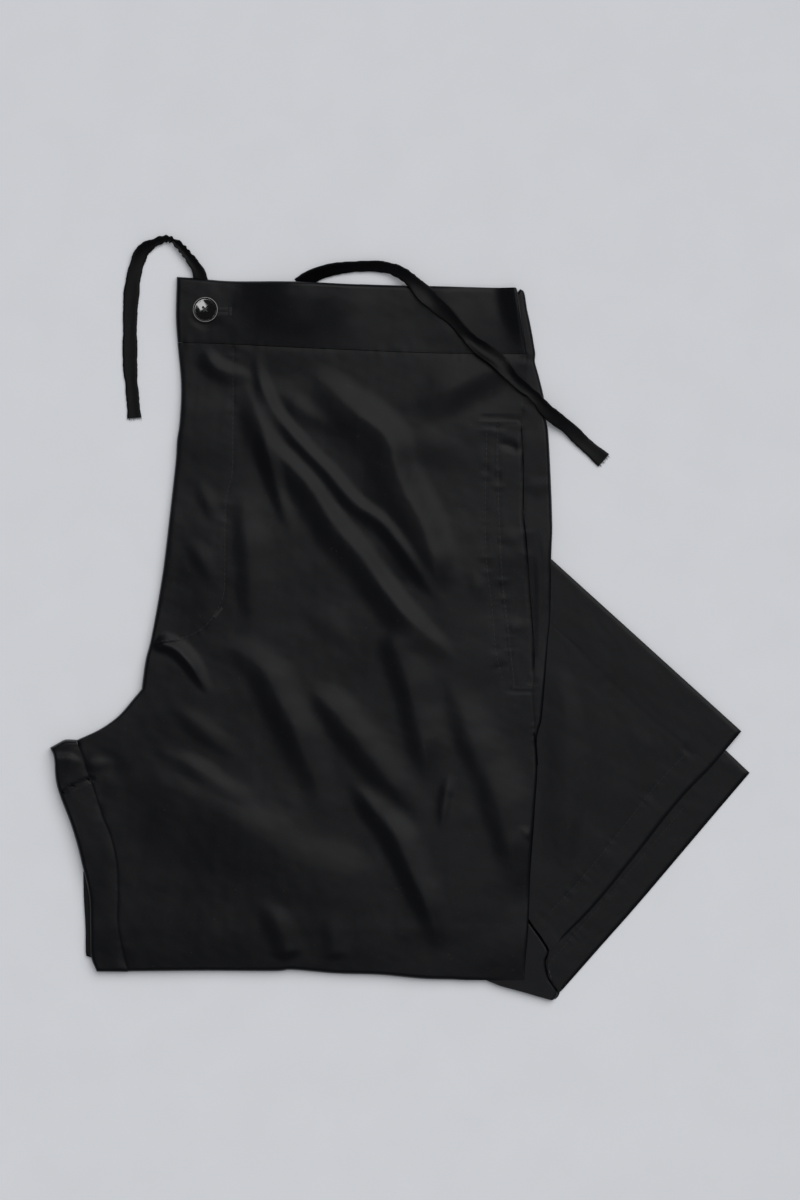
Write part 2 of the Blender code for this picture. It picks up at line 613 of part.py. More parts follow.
def leg_wall(name, left, right, base, rims, cloth):
    """A turned leg, pressed flat: a wall between its root and its hem."""
    grid = inner_patch(left, right, rim_shares(LEG_LENGTH, 7, (False, True)))
    heights = np.full(grid.shape[:2], base + LEG_WALL)
    borders = {"right": grid[:, -1:], "top": grid[:1]}
    for side in rims:
        distance = np.linalg.norm(grid - borders[side], axis=2)
        heights = heights - LEG_RIM_DROP * np.clip(1 - distance / LEG_RIM_WIDTH, 0, 1) ** 2
    outer = np.dstack([grid, heights])
    inner = np.dstack([grid, np.full(grid.shape[:2], base)])
    return add_wall(name, outer, inner, cloth)


def build_legs(cloth):
    """The turned lower legs and the corner where they turn."""
    turn = turn_border(TURN_OUTER[0][1], TURN_SIDE_GAP)
    corner = (LEG_ROOT_X, TURN_INNER[0][1] + TURN_SIDE_GAP)
    turn[0] = (turn[0][0], corner[1])
    seam = [(x + LEFT_LEG_SEAM_SHIFT[0], y + LEFT_LEG_SEAM_SHIFT[1]) for x, y in LEFT_LEG_SEAM]
    left = np.vstack([spaced([seam[0], corner], np.linspace(0, 1, 9), 1), turn[:5]])
    rows = np.linspace(0, 1, len(left))
    right = spaced([seam[-1]] + LEFT_LEG_HEM, rows)
    leg_wall("left_leg_lower", left, right, LEFT_LEG_BASE, ("right",), cloth)
    strip_rows = np.array([0, 0.04, 0.12, 0.25, 0.5, 0.75, 1.0])
    edge_left = spaced([LEFT_LEG_EDGE[0], LEFT_LEG_SEAM[0]], strip_rows)
    edge_right = spaced([LEFT_LEG_TOP_CORNER, LEFT_LEG_SEAM[-1]], strip_rows)
    leg_wall("left_leg_strip", edge_left, edge_right, LEFT_LEG_BASE, ("right", "top"), cloth)
    mouth = turn_border(TURN_OUTER[5][1], TURN_MOUTH_GAP)[:4]
    left = np.vstack([spaced([RIGHT_LEG_ROOT_TOP, corner], np.linspace(0, 1, 9), 1), turn[:5], mouth])
    right = spaced(RIGHT_LEG_HEM, np.linspace(0, 1, len(left)))
    leg_wall("right_leg_lower", left, right, RIGHT_LEG_BASE, ("right", "top"), cloth)
    grid = inner_patch(np.array(TURN_INNER), np.array(TURN_OUTER), np.array([0, 0.4, 0.75, 0.92, 1.0]))
    distance = np.linalg.norm(grid - grid[:, -1:], axis=2)
    heights = LEG_TURN_TOP - LEG_TURN_DROP * np.clip(1 - distance / LEG_TURN_WIDTH, 0, 1) ** 2
    heights[-1] -= LEG_TURN_DROP
    add_wall("leg_turn", np.dstack([grid, heights]), np.dstack([grid, np.zeros(grid.shape[:2])]), cloth)


def core_height(x, y):
    """Top of the hidden layers, just under the front."""
    return pile_height(x, y) - CLOTH_WALL - SEAM_GAP - CORE_SLACK


def core_grid():
    """Plan grid of the hidden layers, and how wide their ledge is down the left border."""
    band_rows, thigh_rows = np.linspace(*CORE_BAND_ROWS, 10), np.linspace(*CORE_THIGH_ROWS, 6)
    upper_y = np.concatenate([CORE_TOP_ROWS, band_rows, [CORE_ROOT_ROW], thigh_rows])
    lower_y = np.array(CORE_LEDGE_ROWS + CORE_END_ROWS)
    in_ledge = (lower_y < CORE_LEDGE_Y[1]) & (lower_y > CORE_LEDGE_Y[0])
    upper = np.column_stack([x_at(BAND_LEFT[:2] + CENTRE_FRONT, upper_y) + CORE_INSET, upper_y])
    outer_x = np.where(in_ledge, x_at(LEDGE_OUTER, lower_y), x_at(INSEAM_OUTER, lower_y) + CORE_INSET)
    left = np.vstack([upper, CORE_CROTCH, np.column_stack([outer_x, lower_y])])
    y = left[:, 1]
    corner = CORE_TOP_CORNER * smoothstep(*CORE_CORNER_Y, y)
    side_x = x_at(BACK_BAND_OUTER + SIDE_OUTER[1:], y) - CORE_INSET - corner
    right = np.column_stack([np.where(y > LEGS_START_Y[1], side_x, CORE_RIGHT_X), y])
    left[-2, 0] += CORE_LAST_INSET
    right[-2] = CORE_LAST_CORNER
    left[0], right[0], left[-1], right[-1] = CORE_TOP[0], CORE_TOP[-1], CORE_BOTTOM[0], CORE_BOTTOM[-1]
    ledge = np.concatenate([np.zeros(len(y) - len(lower_y)), np.where(in_ledge, CORE_LEDGE_WIDTH, 0.0)])
    shares = np.concatenate([[0, 0.008, 0.022], np.linspace(0.06, 0.94, 8), [0.978, 0.992, 1.0]])
    return patch(spaced(CORE_TOP, shares), spaced(CORE_BOTTOM, shares), left, right), ledge


def build_core(cloth):
    """All hidden layers as one rounded solid with a flat underside and layered edges."""
    grid, ledge = core_grid()
    hold = ledge[:, None]
    heights = core_height(grid[..., 0], grid[..., 1])
    for border, flat in ((grid[:, :1], hold), (grid[:, -1:], 0.0), (grid[:1], 0.0), (grid[-1:], 0.0)):
        distance = np.linalg.norm(grid - border, axis=2) - flat
        share = np.clip(1 - distance / ROLL_WIDTH, 0, 1)
        heights = np.minimum(heights, CORE_RIM + (heights - CORE_RIM) * np.sqrt(1 - share * share))
    rows, columns = grid.shape[:2]
    ring = border_indices(rows, columns)
    flat_grid = grid.reshape(-1, 2)
    border = flat_grid[ring]
    tangent = np.roll(border, -1, axis=0) - np.roll(border, 1, axis=0)
    inward = np.column_stack([tangent[:, 1], -tangent[:, 0]])
    inward = inward / np.linalg.norm(inward, axis=1, keepdims=True)
    points = [np.dstack([grid, heights]).reshape(-1, 3)]
    faces = grid_faces(rows, columns, 0, False)
    above = list(ring)
    first = rows * columns
    for height, inset in PLY_GROOVES:
        points.append(np.column_stack([border + inward * inset, np.full(len(ring), height)]))
        below = list(range(first, first + len(ring)))
        for index in range(len(ring)):
            after = (index + 1) % len(ring)
            faces.append((above[index], above[after], below[after], below[index]))
        above = below
        first += len(ring)
    faces.append(tuple(above))
    add_object("hidden_layers", np.vstack(points), faces, cloth)


def build_button(plastic):
    """The waistband's button: a turned disc with a raised rim and four holes."""
    reach = np.linspace(-BUTTON_RADIUS, BUTTON_RADIUS, 9)
    seat_x, seat_y = np.meshgrid(BUTTON_AT[0] + reach, BUTTON_AT[1] + reach)
    base = float(band_height(seat_x, seat_y).max()) + SEAM_GAP
    points, faces = [], []
    turned = BUTTON_PROFILE[1:-1]
    for radius, height in turned:
        for side in range(BUTTON_SIDES):
            angle = 2 * math.pi * side / BUTTON_SIDES
            points.append((radius * math.cos(angle), radius * math.sin(angle), height))
    for ring in range(len(turned) - 1):
        for side in range(BUTTON_SIDES):
            after = (side + 1) % BUTTON_SIDES
            here, above = ring * BUTTON_SIDES, (ring + 1) * BUTTON_SIDES
            faces.append((here + side, here + after, above + after, above + side))
    faces.append(tuple(range(BUTTON_SIDES))[::-1])
    faces.append(tuple(range((len(turned) - 1) * BUTTON_SIDES, len(turned) * BUTTON_SIDES)))
    button = add_object("button", points, faces, plastic)
    button.location = (BUTTON_AT[0] * MM, BUTTON_AT[1] * MM, base * MM)
    for across in (-1, 1):
        for up in (-1, 1):
            cut_button_hole(button, across * BUTTON_HOLE_OFFSET, up * BUTTON_HOLE_OFFSET, plastic)
    return button


def cut_button_hole(button, across, up, plastic):
    """Cut one round hole through the button."""
    sides = BUTTON_HOLE_SIDES
    points = []
    for height in (BUTTON_CUT_FROM, BUTTON_CUT_TO):
        for side in range(sides):
            angle = 2 * math.pi * side / sides
            points.append((across + BUTTON_HOLE_RADIUS * math.cos(angle),
                           up + BUTTON_HOLE_RADIUS * math.sin(angle), height))
    faces = [tuple(range(sides))[::-1], tuple(range(sides, 2 * sides))]
    for side in range(sides):
        after = (side + 1) % sides
        faces.append((side, after, after + sides, side + sides))
    cutter = add_object("button_hole_cutter", points, faces, plastic)
    cutter.location = button.location
    cutter.hide_render = True
    cutter.display_type = "WIRE"
    cut = button.modifiers.new("hole", "BOOLEAN")
    cut.operation = "DIFFERENCE"
    cut.solver = "EXACT"
    cut.object = cutter


def build_tie(name, route, count, cloth):
    """A flat tie: a curve that is extruded to its width and rounded at its edges."""
    line = spaced(route, np.linspace(0, 1, count))
    curve = bpy.data.curves.new(name, "CURVE")
    curve.dimensions = "3D"
    curve.twist_mode = "Z_UP"
    curve.bevel_depth = TIE_THICK / 2 * MM
    curve.bevel_resolution = 2
    curve.extrude = (TIE_WIDTH - TIE_THICK) / 2 * MM
    curve.use_fill_caps = True
    spline = curve.splines.new("POLY")
    spline.points.add(count - 1)
    for point, (x, y, z, turn) in zip(spline.points, line):
        point.co = (x * MM, y * MM, z * MM, 1.0)
        point.tilt = math.radians(90 + turn)
    curve.materials.append(cloth)
    made = bpy.data.objects.new(name, curve)
    bpy.context.scene.collection.objects.link(made)
    return made


def main():
    """Build every piece of the folded pants."""
    clear_scene()
    cloth = make_material("black_cloth", (0.0125, 0.0127, 0.0140), 0.55)
    tie_cloth = make_material("black_tie", (0.0105, 0.0107, 0.0120), 0.6)
    plastic = make_material("black_button", (0.006, 0.006, 0.007), 0.18)
    build_front(cloth)
    build_fly(cloth)
    build_welt(cloth)
    build_side(cloth)
    build_inseam_strip(cloth)
    build_waistband(cloth)
    build_legs(cloth)
    build_core(cloth)
    build_button(plastic)
    build_tie("tie_left", TIE_LEFT_ROUTE, TIE_POINTS_LEFT, tie_cloth)
    build_tie("tie_right", TIE_RIGHT_ROUTE, TIE_POINTS_RIGHT, tie_cloth)


main()
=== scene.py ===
"""Look of lounge pants folded in half along the centre front and laid flat.

Every cloth piece is a thin shell on the form of its solid, with the folds of the real garment placed
one by one. Tables and sizes are in millimetres, and are turned into metres where a mesh is made.
"""

import logging
import math
from collections.abc import Callable
from dataclasses import dataclass, field
from enum import Enum

import bmesh
import bpy
import numpy as np
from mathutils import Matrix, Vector


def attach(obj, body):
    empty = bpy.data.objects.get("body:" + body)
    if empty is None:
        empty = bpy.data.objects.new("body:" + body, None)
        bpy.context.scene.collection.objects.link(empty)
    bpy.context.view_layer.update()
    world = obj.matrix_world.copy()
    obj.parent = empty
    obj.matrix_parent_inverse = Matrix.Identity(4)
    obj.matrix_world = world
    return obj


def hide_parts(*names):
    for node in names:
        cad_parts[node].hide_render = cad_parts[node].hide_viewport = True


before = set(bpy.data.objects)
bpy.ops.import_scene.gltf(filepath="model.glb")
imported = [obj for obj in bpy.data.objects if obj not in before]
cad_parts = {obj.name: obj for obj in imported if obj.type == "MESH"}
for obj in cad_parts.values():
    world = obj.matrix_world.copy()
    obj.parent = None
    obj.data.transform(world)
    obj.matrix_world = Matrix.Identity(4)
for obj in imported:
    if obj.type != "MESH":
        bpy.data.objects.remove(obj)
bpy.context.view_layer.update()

MM = 0.001
LOG = logging.getLogger("lounge_pants")
Point = tuple[float, float]
Triple = tuple[float, float, float]
HeightAt = Callable[[np.ndarray, np.ndarray], np.ndarray]
Socket = bpy.types.NodeSocket


class Side(Enum):
    """A border of a cloth grid."""

    LEFT = "left"
    RIGHT = "right"
    TOP = "top"
    BOTTOM = "bottom"


class Slot(Enum):
    """Material slots of the record."""

    CLOTH = "cloth"
    TIE = "tie_cloth"
    BUTTON = "button"


class Sewing(Enum):
    """Ways of sewing: length of a stitch, from one to the next, and thickness, in millimetres."""

    TOPSTITCH = (2.3, 3.0, 0.42)
    EDGE = (1.9, 2.6, 0.36)
    BAR = (2.2, 0.55, 0.40)
    HOLE = (2.6, 0.60, 0.42)


# How far the folds spread beyond their stated width, and how crisp their crests are
FOLD_SPREAD = 1.35
FOLD_CRISP = 0.6

# How long the folds fade beyond their stated share, and the share of width left at their ends
FADE_SPREAD = 1.4
END_WIDTH = 0.6

# Layers and rims
SEAM_GAP = 0.3
SEWN_GAP = 0.05
ROLL_WIDTH = 2.2
RIM_HEIGHT = 1.2
RIM_ON_LEGS = 4.6
RIM_ON_LEDGE = 4.0
RIM_AT_BOTTOM = 3.6
RIM_BY_BACK_BAND = 4.0
LOWEST_POINT = 0.1
THINNEST_WALL = 0.05
INWARD_SHARE = 0.6
BAND_RISE = 0.4
CORE_GAP = 2.05
CORE_INSET = 3.4
CORE_RIM = 2.2
LEG_ROOT_X = 64.4
CORE_RIGHT_X = LEG_ROOT_X - 0.9
LEFT_LEG_BASE = 2.1
LEG_PLIES = 1.8
LEVELS_PER_PLY = 5
LEG_TURN_TOP = 4.0

# Where the turned legs lie under the front: their upper edge, its slope, and the turn's corner
LEGS_EDGE_Y = 76.5
LEGS_EDGE_SLOPE = 0.906
LEGS_OVERLAP = 3.0
TURN_UNDER = (44.0, -192.0)

# Share of the band's folds that is left at the waist seam, and how far they run on above and below it
BAND_SEAM_SHARE = 0.15
BAND_SEAM_REACH = 33.0
FRONT_SEAM_REACH = 22.0

# Height of the front over the hidden layers, before its folds, from waist to bottom fold
PILE_BY_Y = [
    # y, height
    (222.1, 5.2), (181.0, 5.4), (120.0, 6.3), (40.0, 7.4), (-60.0, 8.2), (-150.0, 8.2),
    (-178.0, 7.8), (-209.9, 5.9),
]
SIDE_FALL = (1.3, 25.0, 80.0)
FRONT_FALL = (0.9, 38.0)

# Borders of the pieces, as the folded garment shows them from above
CENTRE_FRONT = [
    # x, y
    (-136.7, 181.4), (-134.5, 155.8), (-135.4, 133.3), (-137.0, 121.9), (-137.9, 108.1),
    (-141.1, 79.2), (-146.0, 39.1), (-152.5, 2.0), (-156.3, -13.4), (-158.8, -31.2),
]
CROTCH_CURVE = [
    # x, y
    (-158.8, -31.2), (-164.4, -37.9), (-172.9, -47.6), (-183.9, -55.6), (-198.3, -62.4),
]
INSEAM = [
    # x, y
    (-198.3, -62.4), (-194.7, -71.7), (-191.8, -81.6), (-187.6, -92.8), (-181.9, -109.8),
    (-177.0, -122.5), (-173.4, -139.4), (-172.8, -156.3), (-172.8, -173.3), (-169.9, -192.9),
    (-166.8, -204.7),
]
INSEAM_OUTER = [
    # x, y
    (-214.9, -67.1), (-212.4, -73.4), (-211.6, -85.3), (-209.4, -95.0), (-203.3, -110.9),
    (-199.7, -121.8), (-196.4, -134.0), (-191.1, -156.4), (-190.2, -177.0), (-189.7, -194.5),
    (-186.0, -204.6),
]
INSEAM_TOP = [(-209.3, -64.0), (-205.5, -62.2)]
LEDGE_OUTER = [
    # x, y
    (-194.6, -142.0), (-194.2, -159.5), (-193.2, -177.8), (-193.0, -193.6), (-191.8, -196.6),
]
SIDE_SEAM = [
    # x, y
    (77.8, 174.3), (76.0, 146.5), (74.5, 133.5), (74.9, 128.1), (75.9, 105.5), (75.9, 78.9),
    (77.8, 58.8), (79.9, 28.1), (82.1, -1.1), (82.5, -15.2), (81.1, -32.8), (82.3, -53.0),
    (84.2, -78.4), (82.8, -103.7), (81.4, -124.1), (79.9, -145.6), (78.6, -179.4), (76.8, -199.7),
    (76.4, -209.9),
]
SIDE_OUTER = [
    # x, y
    (82.0, 182.4), (83.2, 174.5), (82.9, 169.9), (85.5, 160.3), (88.6, 147.0), (89.6, 135.3),
    (91.2, 125.5), (92.7, 97.3), (93.5, 72.2), (92.8, 49.5), (92.1, 14.4), (90.5, -4.2),
    (88.7, -29.2), (86.8, -50.3), (84.7, -61.5), (84.6, -78.0),
]
WAIST_SEAM = [
    # x, y
    (-136.7, 181.4), (-103.4, 180.2), (-75.0, 178.7), (-30.8, 176.8), (26.4, 174.6),
    (77.8, 174.3),
]
BOTTOM_FOLD = [
    # x, y
    (-166.8, -204.7), (-123.0, -204.3), (-77.2, -204.5), (-66.2, -203.7), (-38.8, -206.0),
    (-12.4, -206.8), (17.1, -209.4), (48.8, -209.7), (76.4, -209.9),
]
BAND_TOP = [
    # x, y
    (-137.1, 222.1), (-126.8, 221.4), (-105.3, 219.5), (-72.0, 219.1), (-30.8, 217.5),
    (70.5, 213.6),
]
BAND_LEFT = [(-137.1, 222.1), (-137.7, 198.2), (-136.7, 181.7)]
BAND_RIGHT = [(70.5, 213.6), (72.4, 211.4), (77.8, 174.6)]
BACK_BAND_INNER = [(72.9, 211.8), (77.4, 182.7)]
BACK_BAND_OUTER = [(73.9, 214.6), (76.4, 212.3), (78.1, 202.1), (79.9, 193.9), (82.0, 182.7)]
FLY_RIGHT = [
    # x, y
    (-101.5, 179.0), (-101.9, 140.0), (-102.3, 102.2), (-105.4, 88.0), (-106.5, 76.7),
    (-106.1, 32.7), (-109.0, 21.0), (-116.0, 9.0), (-126.8, 1.4), (-137.2, -1.7), (-147.5, -3.0),
]
WELT_LEFT = [
    # x, y
    (59.9, 133.0), (58.6, 117.6), (59.1, 86.3), (60.5, 52.1), (62.0, 29.7), (64.7, 8.8),
    (66.0, -2.9), (67.6, -17.7), (69.4, -29.4),
]
LEFT_LEG_TOP_CORNER = (209.6, -57.1)
LEFT_LEG_HEM = [(191.2, -79.0), (170.6, -100.7), (145.0, -133.1), (119.2, -164.5), (98.8, -184.8)]
LEFT_LEG_SEAM = [
    # x, y
    (LEG_ROOT_X, 33.5), (101.4, 0.2), (130.2, -28.1), (152.4, -48.3), (178.1, -68.4), (191.2, -79.0),
]
RIGHT_LEG_HEM = [(214.9, -82.7), (190.1, -111.8), (147.5, -162.0), (123.2, -189.5), (100.2, -215.6)]
TURN_INNER = [
    # x, y
    (LEG_ROOT_X, -155.0), (LEG_ROOT_X, -165.0), (LEG_ROOT_X, -175.0), (LEG_ROOT_X, -184.0),
    (LEG_ROOT_X, -190.0), (LEG_ROOT_X, -196.0), (LEG_ROOT_X, -202.0), (52.0, -209.5),
    (75.0, -217.0), (92.9, -222.1),
]
TURN_OUTER = [
    # x, y
    (66.2, -155.0), (73.3, -165.0), (80.4, -175.0), (88.2, -186.0), (91.4, -192.1),
    (89.4, -195.9), (89.6, -202.0), (91.4, -208.8), (96.9, -217.3), (94.3, -221.8),
]

# Rows of sewing
FLY_ROW = [
    # x, y
    (-102.3, 178.2), (-102.4, 152.7), (-102.5, 126.8), (-102.8, 102.2), (-105.4, 91.2),
    (-107.2, 76.7), (-107.4, 32.7), (-110.6, 20.4), (-118.6, 8.2), (-127.6, 2.4), (-138.0, -0.6),
    (-149.0, -2.0),
]
POCKET_INNER_ROW = [
    # x, y
    (59.6, 131.8), (59.8, 117.6), (60.3, 86.3), (61.7, 52.1), (63.2, 29.7), (65.9, 8.8),
    (67.2, -2.9), (68.8, -17.7), (70.4, -28.4),
]
POCKET_OUTER_ROW = [
    # x, y
    (53.2, 132.4), (52.8, 109.0), (52.2, 83.8), (52.4, 58.6), (53.7, 38.9), (55.9, 23.5),
    (57.3, 8.5), (59.1, -10.3), (63.9, -28.1),
]
POCKET_TOP_ROW = [(47.8, 133.0), (74.0, 132.4)]

# Middle of the waist button
BUTTON_AT = (-119.2, 201.3)


@dataclass(frozen=True)
class Fold:
    """A soft ridge of cloth along a crest line; a negative height makes a trough.

    up is its width on the left of the crest's direction and down on the right; sharp goes from 0,
    a round crest, to 1, a crisp one; start and end are the shares over which it fades.
    """

    name: str
    height: float
    up: float
    down: float
    sharp: float
    start: float
    end: float
    crest: list[Point]

    def lift(self, x: np.ndarray, y: np.ndarray) -> np.ndarray:
        """Height that the fold adds.

        Args:
            x: plan positions across.
            y: plan positions up the garment.

        Returns:
            One height for each position.
        """
        line = smooth_line(self.crest, 5)
        near = close_to(line, max(self.up, self.down) * FOLD_SPREAD, x, y)
        total = np.zeros(np.shape(x))
        if not near.any():
            return total
        distance, side, along = nearest_on_line(x[near], y[near], line)
        fade = smoothstep(0, FADE_SPREAD * self.start, along) \
            * smoothstep(0, FADE_SPREAD * self.end, 1 - along)
        narrowed = END_WIDTH + (1 - END_WIDTH) * fade
        width = np.where(side > 0, self.up, self.down) * narrowed * FOLD_SPREAD
        share = np.clip(distance / width, 0, 1)
        soft, crisp = (1 - share * share) ** 3, (1 - share) ** 2
        total[near] = self.height * fade * (soft + FOLD_CRISP * self.sharp * (crisp - soft))
        return total


@dataclass(frozen=True)
class Ripple:
    """Soft uneven waves of cloth: a seeded sum of plane waves."""

    height: float
    shortest: float
    longest: float
    seed: int
    count: int = 14

    def lift(self, x: np.ndarray, y: np.ndarray) -> np.ndarray:
        """Height of the waves at plan positions.

        Args:
            x: plan positions across.
            y: plan positions up the garment.

        Returns:
            One height for each position.
        """
        chance = np.random.default_rng(self.seed)
        total = np.zeros(np.shape(x))
        for length in np.geomspace(self.shortest, self.longest, self.count):
            angle, start = chance.uniform(0, 2 * math.pi, 2)
            run = (x * math.cos(angle) + y * math.sin(angle)) * 2 * math.pi / length
            total += np.sin(run + start) * length / self.longest
        return total * self.height / math.sqrt(self.count)


@dataclass(frozen=True)
class Pucker:
    """Small uneven gathers of the cloth along a row of sewing."""

    line: list[Point]
    height: float
    reach: float = 3.2
    pitch: float = 5.2

    def lift(self, x: np.ndarray, y: np.ndarray) -> np.ndarray:
        """Height of the gathers at plan positions.

        Args:
            x: plan positions across.
            y: plan positions up the garment.

        Returns:
            One height for each position.
        """
        line = smooth_line(self.line, 4)
        near = close_to(line, 3 * self.reach, x, y)
        total = np.zeros(np.shape(x))
        if not near.any():
            return total
        distance, _, along = nearest_on_line(x[near], y[near], line)
        run = along * np.linalg.norm(np.diff(line, axis=0), axis=1).sum() * 2 * math.pi / self.pitch
        wave = np.sin(run + 2.6 * np.sin(run * 0.31) + 1.4 * np.sin(run * 0.13 + 2))
        wave *= np.clip(0.45 + 0.6 * np.sin(run * 0.21 + 1) + 0.4 * np.sin(run * 0.087), 0.05, 1.3)
        close = np.exp(-(distance / (self.reach * (1 + 0.4 * np.sin(run * 0.17)))) ** 2)
        groove = 0.6 * np.exp(-(distance / (0.28 * self.reach)) ** 2)
        total[near] = self.height * (wave * close - groove)
        return total


